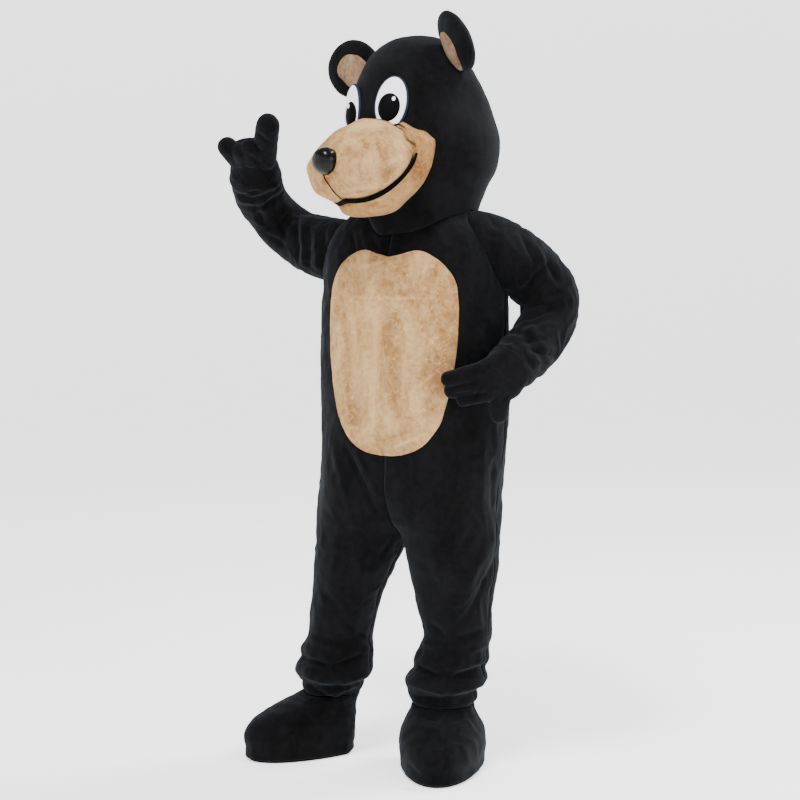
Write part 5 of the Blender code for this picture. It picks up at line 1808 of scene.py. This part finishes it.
def mirrored_lip(muzzle, jaw):
    """The lip line from its far corner to its near one. The near half is traced. The far half is
    its mirror image laid midway between muzzle and jaw, and both are smoothed into one line."""
    seen = head_local(trace([muzzle, jaw], picture_path(LIP_PIXELS, LIP_STEPS), 3.0))
    to_middle = seen[0] * np.array([1, 0, 0]) * np.linspace(1, 0, LIP_STEPS)[:, None] ** 4
    seen = seen - to_middle
    far = head_local(laid_between(muzzle, jaw, head_place(seen * np.array([-1, 1, 1]))))
    far = np.stack([smooth_row(far[:, k], 24) for k in range(3)], -1)
    near = far[:MIDDLE_STEPS:-1]
    whole = np.concatenate([near, seen[MIDDLE_STEPS:]])
    whole[:, 0] = np.maximum.accumulate(whole[:, 0])
    whole = np.stack([smooth_row(whole[:, k], 5) for k in range(3)], -1)
    return head_place(whole), np.arange(len(whole)) - len(near)


def picture_path(pixels, steps):
    """A smooth row of pixels through the given ones."""
    at = np.linspace(0, len(pixels) - 1, steps)
    return np.stack([glide(at, np.array(pixels, float)[:, k]) for k in (0, 1)], -1)


def add_muzzle():
    """A hollow stuffed lump trimmed to the head."""
    muzzle = muzzle_lump("muzzle_plush", 0, relief=muzzle_relief)
    hollow = muzzle_lump("hollow", -MUZZLE_WALL - HOLLOW_SINK)
    cut(muzzle, "DIFFERENCE", hollow, HEAD_FORM)
    discard(hollow)
    # Painted highlights: the muzzle's paler top and rim.
    paint_line(muzzle, "pale", MUZZLE_PAINTED_HIGHLIGHTS)
    stuffed(muzzle, "tan_plush", "muzzle")
    return muzzle


def add_mouth(muzzle):
    """The lining fills the gap between the lips and darkens below the mouth's corner."""
    mouth = jaw_lump("mouth_lining", -LIP_SINK, JAW_TAN_SHADED)
    below = muzzle_lump("below", LIP_GAP - SEAM_GAP)
    cut(mouth, "INTERSECT", below)
    cut(mouth, "DIFFERENCE", MUZZLE_FORM, HEAD_FORM)
    discard(below)
    corner = head_height(trace([muzzle], [MOUTH_CORNER])[0])

    def below_corner(points, normals):
        return np.clip((corner - head_height(points)) / 0.006, 0, 1)

    paint_where(mouth, "line", below_corner)
    stuffed(mouth, "mouth_lining", "mouth")


def add_jaw():
    """A hollow lump trimmed by the head and, a lip's gap away, by the muzzle."""
    jaw = jaw_lump("jaw_plush", 0, JAW_TAN_SHADED, relief=jaw_relief)
    inside = jaw_lump("inside", -MUZZLE_WALL, TAN)
    clear = muzzle_lump("clear", LIP_GAP)
    cut(jaw, "DIFFERENCE", inside, clear, HEAD_FORM)
    discard(inside, clear)
    # Painted highlights: paler lines on the jaw's edges.
    paint_line(jaw, "pale", JAW_PAINTED_HIGHLIGHTS)
    stuffed(jaw, "tan_plush", "jaw")
    return jaw


def add_snout():
    """Muzzle, mouth, jaw and nose, then the piping of the seam and of the lip line."""
    muzzle = add_muzzle()
    add_mouth(muzzle)
    jaw = add_jaw()
    nose = lump("nose_gloss", NOSE_SPOT, NOSE_AXES, muzzle_place, NOSE, 2.3)
    cut(nose, "DIFFERENCE", MUZZLE_FORM)
    belongs(nose, "nose", "nose")
    seam = trace([muzzle], picture_path(SEAM_PIXELS, SEAM_STEPS))
    piping("muzzle_seam", seam, np.full(SEAM_STEPS, SEAM_RADIUS))
    lip, from_middle = mirrored_lip(muzzle, jaw)
    radius = np.interp(np.abs(from_middle), LIP_STATIONS, LIP_RADII)
    radius = np.where(from_middle < 0, np.minimum(radius, FAR_LIP_RADIUS), radius)
    piping("lip_line", lip, radius)


add_snout()

# %% [markdown]
# An eye is a white felt lens with a dark rim and a black lens on it, whose little white spot
# gives the look. Each sits at its own angle, because the head is turned.

# %% Eyes
EYE_TURNS = {1: 24.0, -1: 19.5}
EYE_UP = 0.119
EYE_LEAN = 10.0
EYE_AXES = (0.042, 0.013, 0.02, 0.068, 0.066)
PUPIL_AXES = {1: (0.033, 0.021, 0.02, 0.040, 0.042), -1: (0.032, 0.0176, 0.02, 0.042, 0.043)}
PUPIL_SHIFT = {1: (-0.001, 0.0, -0.009), -1: (0.006, 0.0, -0.011)}
RIM_AXES = (0.0448, 0.0080, 0.02, 0.0708, 0.0688)
SPOT_SHIFT = {1: (0.013, -0.0200, 0.008), -1: (0.010, -0.0166, 0.006)}
SPOT_AXES = (0.0046, 0.0022, 0.002, 0.0054, 0.0054)


def eye_place(side):
    """A placing on the head's front at the eye's height, leaning and turned outward."""
    turn = math.radians(90 - side * EYE_TURNS[side])
    steps = np.linspace(3, 6, 301)
    heights = head_point(turn, steps)[:, 2]
    spot = head_point(turn, steps[np.argmin(np.abs(heights - EYE_UP))])
    face = turn_about("y", side * EYE_LEAN) @ turn_about("x", -EYE_LEAN)
    face = face @ turn_about("z", side * EYE_TURNS[side])
    return lambda points: head_place(points @ face + spot)


def add_eye(side, word):
    """Rim, white, black and spot: four lenses, each a little prouder than the last."""
    place = eye_place(side)
    trims = (HEAD_FORM, MUZZLE_FORM, JAW_FORM)
    made = (
        ("rim", (0, 0, 0), RIM_AXES, RIM, "eye_white", ()),
        ("white", (0, 0, 0), EYE_AXES, WHITE, "eye_white", (f"eye_{word}",)),
        ("black", PUPIL_SHIFT[side], PUPIL_AXES[side], PUPIL, "pupil", (f"pupil_{word}",)),
        ("spot", SPOT_SHIFT[side], SPOT_AXES, WHITE, "eye_white", ()),
    )
    for part, centre, axes, material, slot_name, nodes in made:
        item = lump(f"eye_{word}_{part}", centre, axes, place, material, turns=72)
        cut(item, "DIFFERENCE", *trims)
        belongs(item, slot_name, *nodes)


add_eye(1, "left")
add_eye(-1, "right")

# %% [markdown]
# An ear is a stuffed dark disc with a tan pad on its front.

# %% Ears
EAR_SPOTS = {1: (0.174, -0.030, 0.264), -1: (0.190, -0.036, 0.249)}
EAR_TILTS = {1: 30.0, -1: 48.0}
EAR_INWARD = 14.0
EAR_PITCHES = {1: 34.0, -1: 8.0}
EAR_AXES = (0.074, 0.027, 0.030, 0.080, 0.083)
INNER_EAR_SPOT = (0, -0.010, -0.004)
INNER_EAR_AXES = (0.052, 0.020, 0.018, 0.056, 0.074)


def add_ear(side, word):
    """A dark lump, and a pad on its front cut free of it."""
    lean = turn_about("x", EAR_PITCHES[side]) @ turn_about("z", -side * EAR_INWARD)
    lean = lean @ turn_about("y", side * EAR_TILTS[side])
    out, along_y, up = EAR_SPOTS[side]

    def place(points):
        return head_place(points @ lean + np.array([side * out, along_y, up]))

    def relief(local, points, normals):
        return 0.0012 * unevenness(points, 0.04, 51)

    dark = lump(f"ear_{word}_plush", (0, 0, 0), EAR_AXES, place, BLACK, 2.15, 80, relief)
    cut(dark, "DIFFERENCE", HEAD_FORM)
    stuffed(dark, "black_plush", f"ear_{word}")
    pad_form = (INNER_EAR_SPOT, INNER_EAR_AXES, place, EAR_TAN, 2.1, 72, relief)
    pad = lump(f"inner_ear_{word}_plush", *pad_form)
    form = lump("ear form", (0, 0, 0), EAR_AXES, place, BLACK, 2.15, 80)
    cut(pad, "DIFFERENCE", form, HEAD_FORM)
    discard(form)
    stuffed(pad, "tan_plush", f"inner_ear_{word}")


add_ear(1, "left")
add_ear(-1, "right")
discard(HEAD_FORM, MUZZLE_FORM, JAW_FORM)

# %% [markdown]
# The zip down the back: a woven tape set behind the cloth, and two rows of metal teeth that mesh
# in the slot. The slider and its pull tab keep the exact solids, because the tab swings on them.

# %% Zip
TAPE_HALF = 0.013
TAPE_SUNK = 0.0046
TAPE_THICK = 0.0012
TOOTH_HALF = (0.0011, 0.0010, 0.0007)
TOOTH_PITCH = 0.0030
TOOTH_ASIDE = 0.0009


def back_line(z):
    """How far back the middle of the back lies at each height."""
    return body_point(1, np.array(1.5 * math.pi), z)[..., 1]


def add_zip():
    """A woven strip, and boxes set left and right in turn, half a pitch apart."""
    z = np.linspace(ZIP_LOW + 0.02, ZIP_HIGH - 0.02, 60)
    y = back_line(z) - TAPE_SUNK
    x = np.array([-TAPE_HALF, -TAPE_HALF, TAPE_HALF, TAPE_HALF])
    deep = np.array([0, -TAPE_THICK, -TAPE_THICK, 0])
    height = z[:, None] - HELD_HEIGHT
    rings = np.stack([x + 0 * height, y[:, None] + deep, height + 0 * x], -1)
    tape = closed_rings("zip_tape_woven", rings, TAPE)
    tape.data.polygons.foreach_set("use_smooth", np.zeros(len(tape.data.polygons), bool))
    corners = np.array([(a, b, c) for c in (-1, 1) for b in (-1, 1) for a in (-1, 1)], float)
    sides = ((0, 1, 3, 2), (4, 6, 7, 5), (0, 4, 5, 1), (2, 3, 7, 6), (0, 2, 6, 4), (1, 5, 7, 3))
    boxes = np.array(sides)
    levels = np.arange(ZIP_LOW + 0.022, ZIP_HIGH - 0.022, TOOTH_PITCH / 2)
    left_right = TOOTH_ASIDE * (-1.0) ** np.arange(levels.size)
    spots = np.stack([left_right, back_line(levels) - 0.0014, levels - HELD_HEIGHT], -1)
    points = spots[:, None] + corners * np.array(TOOTH_HALF)
    faces = np.arange(levels.size)[:, None, None] * 8 + boxes
    teeth = outward(mesh_object("zip_teeth", points.reshape(-1, 3), [faces.reshape(-1, 4)], METAL))
    teeth.data.polygons.foreach_set("use_smooth", np.zeros(len(teeth.data.polygons), bool))
    belongs(tape, "zip_tape", "zip_tape")
    belongs(teeth, "zip_metal")
    for node in ("zip_slider", "zip_tab"):
        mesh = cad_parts[node].data
        for place in range(len(mesh.materials)):
            mesh.materials[place] = METAL
    print("teeth:", levels.size)


add_zip()
